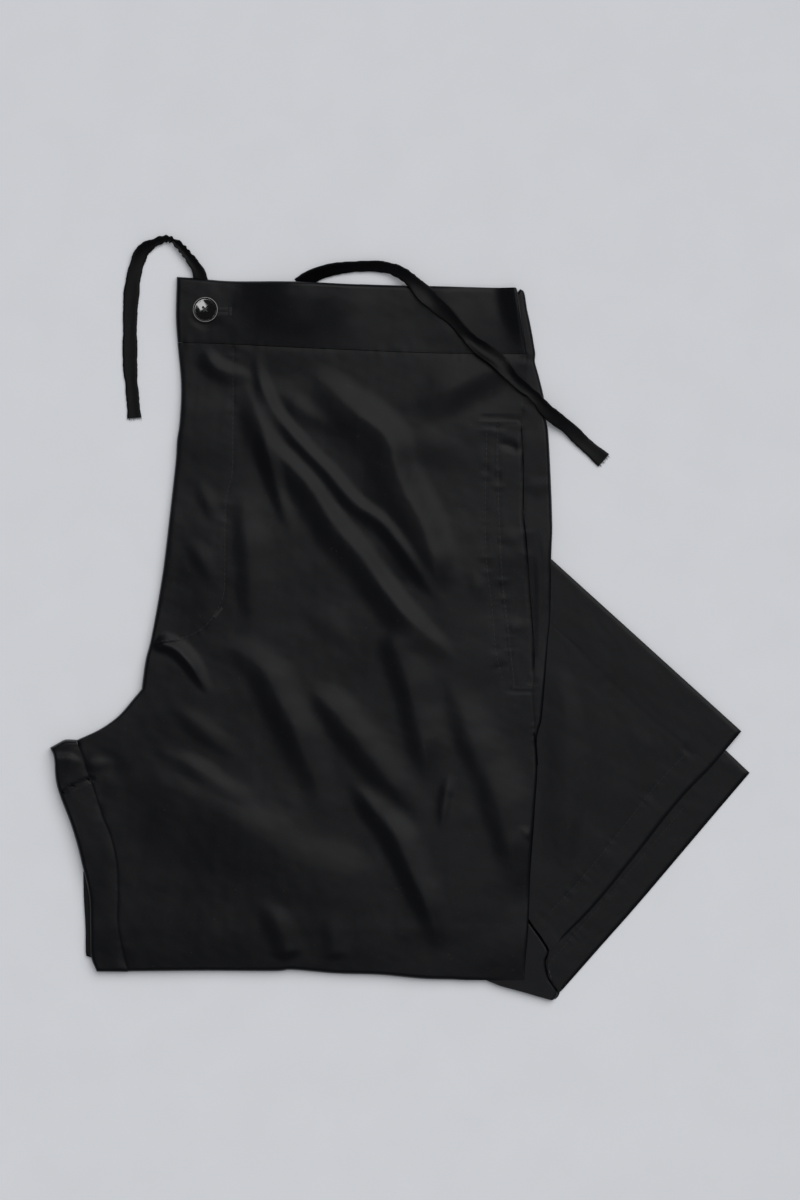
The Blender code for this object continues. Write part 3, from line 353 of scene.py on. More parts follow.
FRONT_FOLDS = [
    Fold("first from the waist", 3.2, 9, 13, 0.5, 0.12, 0.15,
         [(-97.9, 161.9), (-91.7, 148.4), (-83.4, 128.1), (-75.1, 113.3), (-58.5, 96.7),
          (-48.1, 81.9), (-38.8, 66.6), (-22.2, 46.3), (-5.6, 25.4), (9.1, 6.9), (24.5, -7.2),
          (38, -18.3)]),
    Fold("branch of the first", 1.9, 7, 7, 0.5, 0.2, 0.5,
         [(-87.4, 131.1), (-82.5, 115.8), (-78.2, 100.4), (-73.3, 85), (-69, 71.5), (-63.4, 55.5)]),
    Fold("second, thin", 2.2, 6, 7, 0.5, 0.12, 0.25,
         [(-88, 180.3), (-85.6, 158.8), (-78.8, 141.6), (-69, 127.5), (-57, 114.5), (-43.4, 101),
          (-28.4, 83.2), (-13.2, 70.9), (1.9, 54.3), (15.5, 35.8), (26, 22.3), (34.3, 12.5)]),
    Fold("third, wide", 4.6, 14, 22, 0.6, 0.22, 0.12,
         [(-60, 166.8), (-45, 154.8), (-29.6, 140.4), (-13.6, 128.1), (-6.2, 118.8),
          (-2.6, 104.7), (3.6, 88.3), (12.8, 71.7), (19, 53.7), (23.3, 38.9), (25.7, 25.4)]),
    Fold("short, over the third", 1.3, 8, 9, 0.3, 0.3, 0.5,
         [(-76.6, 154.8), (-63, 142.7), (-47.9, 132.1), (-37, 125.6)]),
    Fold("under the band at the right", 3.0, 22, 15, 0.3, 0.25, 0.3,
         [(11, 135.5), (24.5, 147.8), (39.6, 157.6), (54.6, 164.4), (70.6, 169.9), (84, 174)]),
    Fold("soft, over the pocket", 1.1, 12, 14, 0.1, 0.35, 0.4,
         [(-0.1, 121.9), (12.2, 119.5), (27, 117), (43, 113.9)]),
    Fold("small, by the pocket", 0.7, 6, 6, 0.2, 0.4, 0.4,
         [(42.7, 44.6), (45.7, 34), (51.8, 18.9)]),
    Fold("beside the fly", 1.3, 15, 9, 0.25, 0.3, 0.25,
         [(-97.8, 97.3), (-95.4, 75.8), (-92.3, 48.1), (-90.9, 23.5), (-90.5, -1.1)]),
    Fold("under the button", 1.7, 7, 8, 0.6, 0.2, 0.35,
         [(-121.2, 179.1), (-115.7, 168.7), (-106.8, 162.8), (-96.2, 160.9), (-87.4, 158.8)]),
    Fold("fly, upper", 0.7, 7, 6, 0.2, 0.4, 0.4, [(-123.7, 98.6), (-117.6, 83.2), (-113.3, 71.5)]),
    Fold("fly, lower", 0.8, 9, 7, 0.2, 0.4, 0.4, [(-131.7, 61.7), (-121.2, 48.1), (-114.5, 33.4)]),
    Fold("crotch, sharp", 3.6, 7, 3.4, 0.7, 0.1, 0.4,
         [(-152.1, -3.5), (-139.9, -6), (-129.9, -14.6), (-121.9, -26.3), (-114.5, -36.1)]),
    Fold("crotch, second", 2.7, 16, 13, 0.45, 0.35, 0.3,
         [(-125.6, -1.7), (-99.1, -8.5), (-83.1, -20.8), (-73.3, -39.2), (-62.8, -60.1),
          (-53.6, -81.6), (-47.4, -101.3), (-41.9, -115.5)]),
    Fold("crotch, third", 1.1, 9, 8, 0.25, 0.4, 0.4,
         [(-144.6, -39.2), (-129.2, -49), (-112.6, -62.6), (-94.8, -77.3)]),
    Fold("crotch, fourth", 1.1, 8, 8, 0.3, 0.35, 0.4,
         [(-155.1, -63.8), (-131.1, -76.1), (-108.3, -90.9), (-88.7, -101.9)]),
    Fold("inseam, broad", 2.3, 20, 40, 0.25, 0.2, 0.15,
         [(-173.5, -73.6), (-153.8, -83.5), (-137.9, -91.5), (-107.1, -107.5), (-82.5, -124.1),
          (-57.9, -138.2), (-37, -143.8), (-21, -141.9), (-6.2, -132.7)]),
    Fold("thigh, middle", 2.5, 14, 12, 0.4, 0.25, 0.2,
         [(-64.1, -25.7), (-48.1, -36.7), (-33.3, -52.7), (-19.8, -70), (-5.6, -87.2),
          (9.1, -100.1), (18.4, -106.9)]),
    Fold("thigh, over the knee", 2.8, 12, 10, 0.5, 0.15, 0.25,
         [(-31.5, -86.6), (-18.5, -101.9), (-5, -117.3), (3.6, -133.9), (12.2, -154.2),
          (20.2, -174.5), (26.4, -195.4)]),
    Fold("thigh, long", 2.4, 16, 11, 0.35, 0.12, 0.2,
         [(-8.7, 10), (-2.6, -4.2), (5.4, -28.1), (11.6, -51.5), (16.5, -74.9), (18.4, -90.3)]),
    Fold("thigh, side", 2.4, 18, 12, 0.3, 0.25, 0.2,
         [(25.1, -18.3), (36.2, -41.7), (46, -66.3), (57.7, -92.7), (65.7, -119.2), (73.1, -146.2),
          (78, -164.1)]),
    Fold("pinch", 1.3, 5, 4, 0.6, 0.25, 0.4,
         [(30, -80.4), (28.2, -93.3), (26.4, -106.9), (24.5, -122.8)]),
    Fold("bottom, left", 1.4, 10, 10, 0.3, 0.4, 0.1,
         [(-92.3, -159.7), (-80, -168.4), (-71.4, -181.9), (-67.7, -197.9)]),
    Fold("bottom, middle", 0.7, 9, 8, 0.2, 0.45, 0.1,
         [(-43.1, -161), (-41.3, -179.4), (-40.1, -197.9)]),
    Fold("thigh, faint", 0.7, 12, 9, 0.1, 0.4, 0.4,
         [(-59.7, 16.1), (-43.1, 7.5), (-26.5, -7.8)]),
    Fold("crotch tab, cross", 0.9, 5, 5, 0.4, 0.2, 0.4,
         [(-194.4, -79.8), (-184.6, -76.7), (-172.3, -76.1)]),
    Fold("crotch tab, crease", -1.5, 1.6, 1.1, 0.9, 0.06, 0.1,
         [(-211, -97.5), (-207.3, -95.0), (-200, -90.9), (-191.1, -87.2), (-186, -86.0)]),
    Fold("crotch tab, above the crease", 1.3, 3, 14, 0.3, 0.1, 0.3,
         [(-216, -74), (-209, -73.5), (-201, -74), (-193, -79)]),
    Fold("inseam, dip at its top", -0.5, 9, 9, 0.1, 0.3, 0.5,
         [(-190, -66), (-181, -73), (-171, -84), (-165, -100)]),
    Fold("side, small pleat", 0.7, 3, 2, 0.5, 0.4, 0.3,
         [(71.9, -115.5), (76.2, -118.5), (79.4, -123.9)]),
    Fold("inseam, groove", -0.12, 0.8, 4.0, 0.2, 0.01, 0.01, INSEAM),
    Fold("pocket, opening", -1.0, 1.3, 1.1, 0.6, 0.03, 0.05,
         [(74.6, 131.5), (75.5, 105.5), (75.7, 78.9), (77.5, 58.8), (79.7, 28.1), (81.8, -1.1),
          (81.6, -28)]),
    Fold("pocket, top", -0.9, 1.6, 1.1, 0.7, 0.15, 0.05, [(47.8, 134.4), (60, 133.8), (75, 133.6)]),
    Fold("pocket, bottom", -0.7, 1.2, 1.0, 0.7, 0.2, 0.05, [(63, -30.6), (72, -31.2), (81, -31.4)]),
    Fold("welt, upper crease", -1.3, 4, 3, 0.2, 0.3, 0.3, [(59, 118.5), (67, 117.5), (75, 113)]),
    Fold("welt, middle", 0.5, 7, 6, 0.1, 0.4, 0.4, [(60, 66), (68, 62), (77, 63)]),
    Fold("welt, lower", 0.5, 6, 5, 0.1, 0.4, 0.4, [(63, 12), (71, 8), (80, 10)]),
]
BAND_FOLDS = [
    Fold("band, broad", 9.2, 38, 39, 0.1, 0.02, 0.02,
         [(-59, 275), (-60, 216), (-63, 182), (-70, 120)]),
    Fold("band, beneath the tie", 0.9, 17, 15, 0.1, 0.02, 0.02,
         [(22, 275), (24, 214), (30, 180), (40, 120)]),
    Fold("band, right end", 6.4, 3, 13, 0.4, 0.02, 0.02,
         [(66, 260), (72.8, 214), (79.5, 176), (86, 140)]),
    Fold("band, hollow under the button", -1.3, 3.2, 3.6, 0.1, 0.3, 0.3,
         [(-128, 199.5), (-125.2, 194.8), (-119.6, 192.4), (-114, 194), (-110.8, 198.5)]),
    Fold("band, by the button", 0.5, 10, 9, 0.3, 0.2, 0.4, [(-112, 198), (-99, 188), (-88, 179)]),
]
SIDE_FOLDS = [
    Fold("side, streak", 0.45, 3.6, 3, 0.4, 0.2, 0.3, [(83.5, 60), (85, 40), (85.5, 16), (84.5, -20)]),
    Fold("side, second streak", 0.4, 3.4, 2.6, 0.4, 0.2, 0.3, [(87.6, 66), (88.8, 40), (88.6, 10)]),
    Fold("side, cross", 0.5, 5, 4, 0.2, 0.2, 0.2, [(78, 150), (84, 146), (90, 148)]),
    Fold("side, lower cross", 0.4, 6, 5, 0.2, 0.2, 0.2, [(77, 96), (85, 93), (93, 97)]),
]
LEG_FOLDS = [
    Fold("leg, along the root", 1.3, 11, 17, 0.35, 0.25, 0.25,
         [(96, -8), (101, -36), (103.5, -72), (103.5, -104), (101, -132), (100, -156)]),
    Fold("leg, middle", 0.5, 22, 18, 0.1, 0.3, 0.3, [(112, -30), (128, -75), (122, -130)]),
    Fold("leg, by the seam", 0.35, 8, 7, 0.2, 0.3, 0.3, [(132, -38), (146, -62), (152, -84)]),
    Fold("leg, by the hem", 0.35, 9, 7, 0.2, 0.3, 0.3, [(112, -116), (124, -128), (130, -146)]),
]


def close_to(line: np.ndarray, reach: float, x: np.ndarray, y: np.ndarray) -> np.ndarray:
    """Whether plan positions lie in the box round a line, widened by reach."""
    low, high = line.min(axis=0) - reach, line.max(axis=0) + reach
    return (x > low[0]) & (x < high[0]) & (y > low[1]) & (y < high[1])


def smooth_line(points: list[Point] | np.ndarray, steps: int = 8) -> np.ndarray:
    """Points on a Catmull-Rom curve through the given ones.

    Args:
        points: rows of coordinates.
        steps: pieces between one given point and the next.

    Returns:
        The finer rows of coordinates.
    """
    given = np.array(points, dtype=float)
    padded = np.vstack([2 * given[0] - given[1], given, 2 * given[-1] - given[-2]])
    line = []
    for before, start, end, after in zip(padded, padded[1:], padded[2:], padded[3:]):
        for step in range(steps):
            u = step / steps
            line.append(0.5 * (2 * start + (end - before) * u
                               + (2 * before - 5 * start + 4 * end - after) * u * u
                               + (3 * start - before - 3 * end + after) * u ** 3))
    line.append(given[-1])
    return np.array(line)


def length_shares(line: np.ndarray) -> np.ndarray:
    """How far along a line each of its points lies, from 0 to 1."""
    runs = np.concatenate([[0.0], np.cumsum(np.linalg.norm(np.diff(line, axis=0), axis=1))])
    return runs / runs[-1]


def spaced(points: list[Point] | np.ndarray, shares: np.ndarray, steps: int = 8) -> np.ndarray:
    """Points of a smooth line at the given shares of its length; straight runs if steps is 1.

    Args:
        points: that the line runs through.
        shares: of the length, from 0 to 1.
        steps: pieces between one given point and the next.

    Returns:
        The points.
    """
    line = smooth_line(points, steps)
    runs = length_shares(line)
    return np.column_stack([np.interp(shares, runs, line[:, axis]) for axis in range(line.shape[1])])


def x_at(points: list[Point], y: np.ndarray) -> np.ndarray:
    """X of a border that runs down the garment, at heights y."""
    line = smooth_line(points)[::-1]
    return np.interp(y, line[:, 1], line[:, 0])


def line_length(points: list[Point]) -> float:
    """Length of the smooth line through the points."""
    return float(np.linalg.norm(np.diff(smooth_line(points), axis=0), axis=1).sum())


def rim_shares(length: float, step: float, rims: tuple[bool, bool]) -> np.ndarray:
    """Shares of a row of points, closer together near its rolled ends.

    Args:
        length: of the row.
        step: distance between points away from the ends.
        rims: whether the first and the last end are rolled.

    Returns:
        Shares from 0 to 1.
    """
    near = np.array([0.0, 0.15, 0.45, 0.9, 1.5, 2.3, 3.3, 4.5]) / length
    start = near if rims[0] else near[:1]
    end = 1.0 - near[::-1] if rims[1] else np.array([1.0])
    middle = np.linspace(start[-1], end[0], max(2, round(length / step)))
    return np.concatenate([start[:-1], middle, end[1:]])


def smoothstep(low: float, high: float, value: np.ndarray) -> np.ndarray:
    """0 below low, 1 above high, and a soft step between."""
    share = np.clip((np.asarray(value, dtype=float) - low) / (high - low), 0.0, 1.0)
    return share * share * (3 - 2 * share)


def nearest_on_line(x: np.ndarray, y: np.ndarray,
                    line: np.ndarray) -> tuple[np.ndarray, np.ndarray, np.ndarray]:
    """Where plan positions lie beside a line.

    Args:
        x: positions across.
        y: positions up.
        line: rows of points.

    Returns:
        Distance to the line, side (above 0 on its left) and share along it.
    """
    best = np.full(np.shape(x), np.inf)
    side, along = np.zeros(np.shape(x)), np.zeros(np.shape(x))
    shares = length_shares(line)
    for start, end, here, there in zip(line, line[1:], shares, shares[1:]):
        reach = end - start
        share = np.clip(((x - start[0]) * reach[0] + (y - start[1]) * reach[1]) / (reach @ reach), 0, 1)
        gap_x, gap_y = x - start[0] - share * reach[0], y - start[1] - share * reach[1]
        distance = np.hypot(gap_x, gap_y)
        nearer = distance < best
        best = np.where(nearer, distance, best)
        side = np.where(nearer, reach[0] * gap_y - reach[1] * gap_x, side)
        along = np.where(nearer, here + share * (there - here), along)
    return best, side, along


def patch(top: np.ndarray, bottom: np.ndarray, left: np.ndarray, right: np.ndarray) -> np.ndarray:
    """Grid of plan points between four borders (a Coons patch).

    Args:
        top: points of the first row.
        bottom: points of the last row.
        left: points of the first column.
        right: points of the last column.

    Returns:
        The grid, from the top row down.
    """
    across, down = length_shares(top)[None, :, None], length_shares(left)[:, None, None]
    flat = (1 - across) * left[:, None, :] + across * right[:, None, :]
    top_bend = top - ((1 - across[0]) * top[0] + across[0] * top[-1])
    bottom_bend = bottom - ((1 - across[0]) * bottom[0] + across[0] * bottom[-1])
    return flat + (1 - down) * top_bend[None] + down * bottom_bend[None]


def side_patch(left: np.ndarray, right: np.ndarray, shares: np.ndarray) -> np.ndarray:
    """Grid between two side borders, with straight first and last rows."""
    return patch(spaced([left[0], right[0]], shares), spaced([left[-1], right[-1]], shares), left, right)


def rolled(grid: np.ndarray, heights: np.ndarray, rims: dict[Side, float | np.ndarray]) -> np.ndarray:
    """Lower a grid's heights to its rims over a quarter of an ellipse.

    Args:
        grid: plan points.
        heights: before the roll.
        rims: height along each side that is rolled.

    Returns:
        The lowered heights.
    """
    borders = {Side.LEFT: grid[:, :1], Side.RIGHT: grid[:, -1:],
               Side.TOP: grid[:1], Side.BOTTOM: grid[-1:]}
    lowest = heights
    for side, rim in rims.items():
        share = np.clip(1 - np.linalg.norm(grid - borders[side], axis=2) / ROLL_WIDTH, 0, 1)
        rim = np.asarray(rim, dtype=float)
        if rim.ndim == 1:
            rim = rim[:, None] if side in (Side.LEFT, Side.RIGHT) else rim[None, :]
        rim = np.minimum(rim, heights)
        lowest = np.minimum(lowest, rim + (heights - rim) * np.sqrt(1 - share * share))
    return lowest


def grid_normals(points: np.ndarray) -> np.ndarray:
    """Upward normals of a grid of points.

    Args:
        points: rows of points.

    Returns:
        One unit vector for each point.
    """
    down, across = np.gradient(points, axis=(0, 1))
    normals = np.cross(down, across)
    normals = normals / np.maximum(np.linalg.norm(normals, axis=2, keepdims=True), 1e-9)
    return normals * np.where(normals[..., 2:] < 0, -1, 1)


def grid_faces(rows: int, columns: int, first: int, flip: bool) -> np.ndarray:
    """Quads of a grid whose points start at index first.

    Args:
        rows: number of rows of points.
        columns: number of columns of points.
        first: index of the first point.
        flip: whether the faces look down.

    Returns:
        Rows of four point indices.
    """
    row, column = np.meshgrid(np.arange(rows - 1), np.arange(columns - 1), indexing="ij")
    corner = (first + row * columns + column).ravel()
    quads = np.column_stack([corner, corner + columns, corner + columns + 1, corner + 1])
    return quads[:, ::-1] if flip else quads


def tube_faces(rings: int, around: int, first: int = 0) -> np.ndarray:
    """Quads between closed rings of points.

    Args:
        rings: number of rings.
        around: points in each ring.
        first: index of the first point.

    Returns:
        Rows of four point indices.
    """
    here = first + np.arange(rings - 1)[:, None] * around
    column = np.arange(around)
    after = (column + 1) % around
    quads = [here + column, here + after, here + around + after, here + around + column]
    return np.stack(quads, axis=-1).reshape(-1, 4)


def border_indices(rows: int, columns: int) -> np.ndarray:
    """Indices of a grid's border, once round.

    Args:
        rows: number of rows of points.
        columns: number of columns of points.

    Returns:
        The indices, from the first corner on.
    """
    top = list(range(columns))
    right = [row * columns + columns - 1 for row in range(1, rows)]
    bottom = [(rows - 1) * columns + column for column in range(columns - 2, -1, -1)]
    left = [row * columns for row in range(rows - 2, 0, -1)]
    return np.array(top + right + bottom + left)


def add_mesh(name: str, points: np.ndarray, faces: list, material: bpy.types.Material,
             sharp: float = 60.0) -> bpy.types.Object:
    """Make a smooth-shaded mesh object.

    Args:
        name: of the object.
        points: in millimetres.
        faces: rows of point indices.
        material: its finish.
        sharp: angle in degrees from which an edge stays crisp.

    Returns:
        The new object.
    """
    mesh = bpy.data.meshes.new(name)
    mesh.from_pydata((np.asarray(points) * MM).tolist(), [], [list(map(int, face)) for face in faces])
    mesh.materials.append(material)
    mesh.validate()
    mesh.shade_smooth()
    mesh.set_sharp_from_angle(angle=math.radians(sharp))
    made = bpy.data.objects.new(name, mesh)
    bpy.context.scene.collection.objects.link(made)
    return made


def floor_under(x: np.ndarray, y: np.ndarray) -> np.ndarray:
    """Lowest height that a shell may reach: the turned legs' top where they lie under it.

    Args:
        x: plan positions across.
        y: plan positions up the garment.

    Returns:
        One height for each position.
    """
    legs_edge = LEGS_EDGE_Y + (LEG_ROOT_X - x) * LEGS_EDGE_SLOPE
    over_legs = (x > LEG_ROOT_X - LEGS_OVERLAP) & (y < legs_edge)
    over_turn = (x > TURN_UNDER[0]) & (y < TURN_UNDER[1])
    return np.where(over_legs | over_turn, LEG_TURN_TOP + SEAM_GAP, LOWEST_POINT)


def cloth_shell(name: str, grid: np.ndarray, heights: np.ndarray, thickness: float,
                material: bpy.types.Material) -> bpy.types.Object:
    """A closed shell of cloth: a grid of heights, and the same moved in along its normals.

    Args:
        name: of the object.
        grid: plan points.
        heights: of the outer face.
        thickness: of the cloth.
        material: its finish.

    Returns:
        The shell.
    """
    outer = np.dstack([grid, heights])
    shift = -thickness * grid_normals(outer)
    borders = (grid[:, :1], grid[:, -1:], grid[-1:], grid[:1])
    left, right, bottom, top = [INWARD_SHARE * np.linalg.norm(grid - line, axis=2) for line in borders]
    shift[..., 0] = np.clip(shift[..., 0], -left, right)
    shift[..., 1] = np.clip(shift[..., 1], -bottom, top)
    inner = outer + shift
    inner[..., 2] = np.maximum(inner[..., 2], floor_under(inner[..., 0], inner[..., 1]))
    inner[..., 2] = np.minimum(inner[..., 2], outer[..., 2] - THINNEST_WALL)
    return closed_wall(name, outer, inner, material)


def closed_wall(name: str, outer: np.ndarray, inner: np.ndarray,
                material: bpy.types.Material) -> bpy.types.Object:
    """A closed wall between two grids of points.

    Args:
        name: of the object.
        outer: points of the upper face.
        inner: points of the lower face.
        material: its finish.

    Returns:
        The wall.
    """
    rows, columns = outer.shape[:2]
    count = rows * columns
    ring = border_indices(rows, columns)
    after = np.roll(ring, -1)
    rim = np.column_stack([ring, after, after + count, ring + count])
    faces = np.vstack([grid_faces(rows, columns, 0, False), grid_faces(rows, columns, count, True), rim])
    return add_mesh(name, np.vstack([outer.reshape(-1, 3), inner.reshape(-1, 3)]), faces, material)


def plied_pad(name: str, grid: np.ndarray, heights: np.ndarray, base: float, plies: int, depth: float,
              material: bpy.types.Material) -> bpy.types.Object:
    """Layers of cloth that lie on each other: a top, an underside and an edge with a lobe for each ply.

    Args:
        name: of the object.
        grid: plan points.
        heights: of the top.
        base: height of the flat underside.
        plies: number of layers that show at the edge.
        depth: of the grooves between them.
        material: its finish.

    Returns:
        The pad.
    """
    rows, columns = grid.shape[:2]
    ring = border_indices(rows, columns)
    border, rim = grid.reshape(-1, 2)[ring], heights.reshape(-1)[ring]
    tangent = np.roll(border, -1, axis=0) - np.roll(border, 1, axis=0)
    inward = np.column_stack([tangent[:, 1], -tangent[:, 0]])
    inward = inward / np.maximum(np.linalg.norm(inward, axis=1, keepdims=True), 1e-9)
    uneven = Ripple(1.0, 11, 60, 5).lift(border[:, 0], border[:, 1])
    points = [np.dstack([grid, heights]).reshape(-1, 3)]
    faces = [grid_faces(rows, columns, 0, False)]
    above, first = ring, rows * columns
    for level in np.linspace(1, 0, plies * LEVELS_PER_PLY + 1)[1:]:
        lobe = abs(math.sin(math.pi * level * plies)) ** 0.6
        ply = math.floor((1 - level) * plies * 0.999)
        inset = depth * (1 - lobe) + depth * 0.5 * np.clip(uneven * math.cos(2.4 * ply), 0, 1)
        height = base + (rim - base) * level
        points.append(np.column_stack([border + inward * inset[:, None], height]))
        below = np.arange(first, first + len(ring))
        faces.append(np.column_stack([above, np.roll(above, -1), np.roll(below, -1), below]))
        above, first = below, first + len(ring)
    under = np.dstack([grid, np.full(grid.shape[:2], base)]).reshape(-1, 3)
    under[ring] = points[-1]
    points.append(under)
    faces.append(grid_faces(rows, columns, first, True))
    faces.append(np.column_stack([above, np.roll(above, -1), np.roll(ring, -1) + first, ring + first]))
    made = add_mesh(name, np.vstack(points), np.vstack(faces), material)
    rework(made, lambda work: bmesh.ops.remove_doubles(work, verts=work.verts, dist=1e-6))
    return made


def rework(made: bpy.types.Object, change: Callable[[bmesh.types.BMesh], object]) -> None:
    """Change the mesh of an object in place.

    Args:
        made: the object.
        change: what to do to its mesh.
    """
    work = bmesh.new()
    work.from_mesh(made.data)
    change(work)
    work.to_mesh(made.data)
    work.free()


def declare(piece: bpy.types.Object, slot: Slot, *nodes: str) -> None:
    """Let a piece ride on the body and stand for solids.

    Args:
        piece: the object.
        slot: not used.
        nodes: solids that it stands for.
    """
    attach(piece, "root")
    if nodes:
        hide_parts(*nodes)


# Range that most of a noise lies in, and the part of it that makes specks
NOISE_RANGE = (0.3, 0.7)
SPECK_RANGE = (0.72, 0.80)


class NodeTree:
    """Short calls to lay shader nodes in a tree."""

    def __init__(self, tree: bpy.types.NodeTree) -> None:
        """Keep the tree that nodes go into."""
        self.tree = tree

    def add(self, kind: str, **settings: object) -> bpy.types.Node:
        """A node of a kind with its settings.

        Args:
            kind: of node.
            settings: values of its properties.

        Returns:
            The node.
        """
        node = self.tree.nodes.new(kind)
        for name, value in settings.items():
            setattr(node, name, value)
        return node

    def feed(self, socket: Socket, value: object) -> None:
        """Link a socket to another, or set its value.

        Args:
            socket: to fill.
            value: another socket, or a plain value.
        """
        if isinstance(value, Socket):
            self.tree.links.new(value, socket)
        else:
            socket.default_value = value

    def sum(self, operation: str, *values: object) -> Socket:
        """Output of a Math node.

        Args:
            operation: of the node.
            values: its inputs in order.

        Returns:
            The output.
        """
        node = self.add("ShaderNodeMath", operation=operation)
        for socket, value in zip(node.inputs, values):
            self.feed(socket, value)
        return node.outputs[0]

    def noise(self, place: Socket, scale: object, detail: float,
              distortion: float = 0.0) -> Socket:
        """Value of a noise texture.

        Args:
            place: position on the object.
            scale: of the texture.
            detail: number of finer layers.
            distortion: of the texture.

        Returns:
            The value, about 0 to 1.
        """
        node = self.add("ShaderNodeTexNoise")
        self.feed(node.inputs["Vector"], place)
        self.feed(node.inputs["Scale"], scale)
        node.inputs["Detail"].default_value = detail
        node.inputs["Distortion"].default_value = distortion
        return node.outputs[0]

    def map_range(self, value: object, start: tuple, end: tuple = (0.0, 1.0),
                  **settings: object) -> Socket:
        """Map a value from one range onto another.

        Args:
            value: to map.
            start: range that it comes from.
            end: range that it is mapped onto.
            settings: of the node.

        Returns:
            Output of the node.
        """
        node = self.add("ShaderNodeMapRange", **settings)
        names = ("Value", "From Min", "From Max", "To Min", "To Max")
        for name, given in zip(names, (value, *start, *end)):
            self.feed(node.inputs[name], given)
        return node.outputs[0]

    def place(self) -> Socket:
        """Position on the object."""
        return self.add("ShaderNodeTexCoord").outputs["Object"]

    def axes(self, place: Socket) -> bpy.types.NodeOutputs:
        """The three parts of a position.

        Args:
            place: the position.

        Returns:
            The outputs x, y and z.
        """
        split = self.add("ShaderNodeSeparateXYZ")
        self.feed(split.inputs[0], place)
        return split.outputs

    def scaled(self, colour: Socket, share: Socket) -> Socket:
        """A colour times a share.

        Args:
            colour: to scale.
            share: to scale it by.

        Returns:
            The scaled colour.
        """
        node = self.add("ShaderNodeVectorMath", operation="SCALE")
        self.feed(node.inputs[0], colour)
        self.feed(node.inputs["Scale"], share)
        return node.outputs[0]

    def mix(self, mask: Socket, under: object, over: object) -> Socket:
        """Blend two colours by a mask.

        Args:
            mask: 0 shows the first colour and 1 the second.
            under: first colour.
            over: second colour.

        Returns:
            The blended colour.
        """
        node = self.add("ShaderNodeMix", data_type="RGBA")
        for socket, value in (("Factor", mask), (6, under), (7, over)):
            self.feed(node.inputs[socket], value)
        return node.outputs[2]

    def bump(self, height: Socket, depth: float, normal: Socket | None = None) -> Socket:
        """Normals of a relief.

        Args:
            height: of the relief, from 0 to 1.
            depth: of the relief in millimetres.
            normal: of the surface below, if another relief lies there.

        Returns:
            The changed normals.
        """
        node = self.add("ShaderNodeBump")
        node.inputs["Strength"].default_value = 1.0
        node.inputs["Distance"].default_value = depth * MM
        self.feed(node.inputs["Height"], height)
        if normal is not None:
            self.feed(node.inputs["Normal"], normal)
        return node.outputs["Normal"]


def new_group(name: str, inputs: dict[str, object], outputs: dict[str, str]
              ) -> tuple[NodeTree, bpy.types.Node, bpy.types.Node]:
    """An empty node group with named sockets.

    Args:
        name: of the group.
        inputs: default value of each input; three numbers make a colour.
        outputs: socket type of each output.

    Returns:
        The group's tree helper, its input node and its output node.
    """
    tree = bpy.data.node_groups.new(name, "ShaderNodeTree")
    for label, value in inputs.items():
        kind = "NodeSocketColor" if isinstance(value, tuple) else "NodeSocketFloat"
        socket = tree.interface.new_socket(label, in_out="INPUT", socket_type=kind)
        socket.default_value = (*value, 1.0) if isinstance(value, tuple) else value
    for label, kind in outputs.items():
        tree.interface.new_socket(label, in_out="OUTPUT", socket_type=kind)
    helper = NodeTree(tree)
    return helper, helper.add("NodeGroupInput"), helper.add("NodeGroupOutput")


def weave_group() -> bpy.types.NodeTree:
    """Plain weave: crossing threads, uneven in height, with the colour darker where the weave lies lower:
    painted shade in the hollows between the threads, mixed with random fibre tone.

    Returns:
        The node group.
    """
    tree, given, made = new_group(
        "plain_weave", {"Color": (0.01, 0.01, 0.011), "Threads": 2200.0, "Tone And Hollow Shade": 0.3, "Roughness": 0.5},
        {"Color": "NodeSocketColor", "Roughness": "NodeSocketFloat", "Height": "NodeSocketFloat"})
    place = tree.place()
    axes = tree.axes(place)
    waver = tree.sum("MULTIPLY", tree.noise(place, 260.0, 2.0), 3.0)
    threads = given.outputs["Threads"]
    waves = []
    for axis in (0, 1):
        run = tree.sum("ADD", axes[axis], axes[2])
        turn = tree.sum("MULTIPLY_ADD", run, tree.sum("MULTIPLY", threads, math.pi), waver)
        waves.append(tree.sum("SINE", turn))
    cross = tree.sum("MULTIPLY", *waves)
    fibre = tree.noise(place, 5200.0, 2.0)
    height = tree.sum("MULTIPLY_ADD", cross, 0.35, tree.sum("MULTIPLY_ADD", fibre, 0.5, 0.25))
    # Painted shade: the colour darkens where the weave lies lower, between the threads, with random fibre
    # tone
    shade = tree.sum("MULTIPLY_ADD", tree.sum("SUBTRACT", height, 0.5), given.outputs["Tone And Hollow Shade"], 1.0)
    tree.feed(made.inputs["Color"], tree.scaled(given.outputs["Color"], shade))
    rough = tree.sum("MULTIPLY_ADD", tree.sum("SUBTRACT", fibre, 0.5), 0.12, given.outputs["Roughness"])
    tree.feed(made.inputs["Roughness"], rough)
    tree.feed(made.inputs["Height"], height)
    return tree.tree


def handling_group() -> bpy.types.NodeTree:
    """Soft marks of handling: broad change of tone, and small creases that cross each other.

    Returns:
        The node group.
    """
    tree, given, made = new_group(
        "handling", {"Color": (0.01, 0.01, 0.011), "Change": 0.2, "Crease Scale": 70.0},
        {"Color": "NodeSocketColor", "Height": "NodeSocketFloat"})
    place = tree.place()
    broad = tree.noise(place, 28.0, 3.0, 0.4)
    low = tree.sum("SUBTRACT", 1.0, given.outputs["Change"])
    high = tree.sum("ADD", 1.0, given.outputs["Change"])
    change = tree.map_range(broad, NOISE_RANGE, (low, high))
    tree.feed(made.inputs["Color"], tree.scaled(given.outputs["Color"], change))
    ridge = tree.noise(place, given.outputs["Crease Scale"], 3.0, 1.2)
    fold = tree.sum("ABSOLUTE", tree.sum("MULTIPLY_ADD", ridge, 2.0, -1.0))
    tree.feed(made.inputs["Height"], tree.sum("MULTIPLY_ADD", tree.sum("POWER", fold, 0.8), -0.6, broad))
    return tree.tree


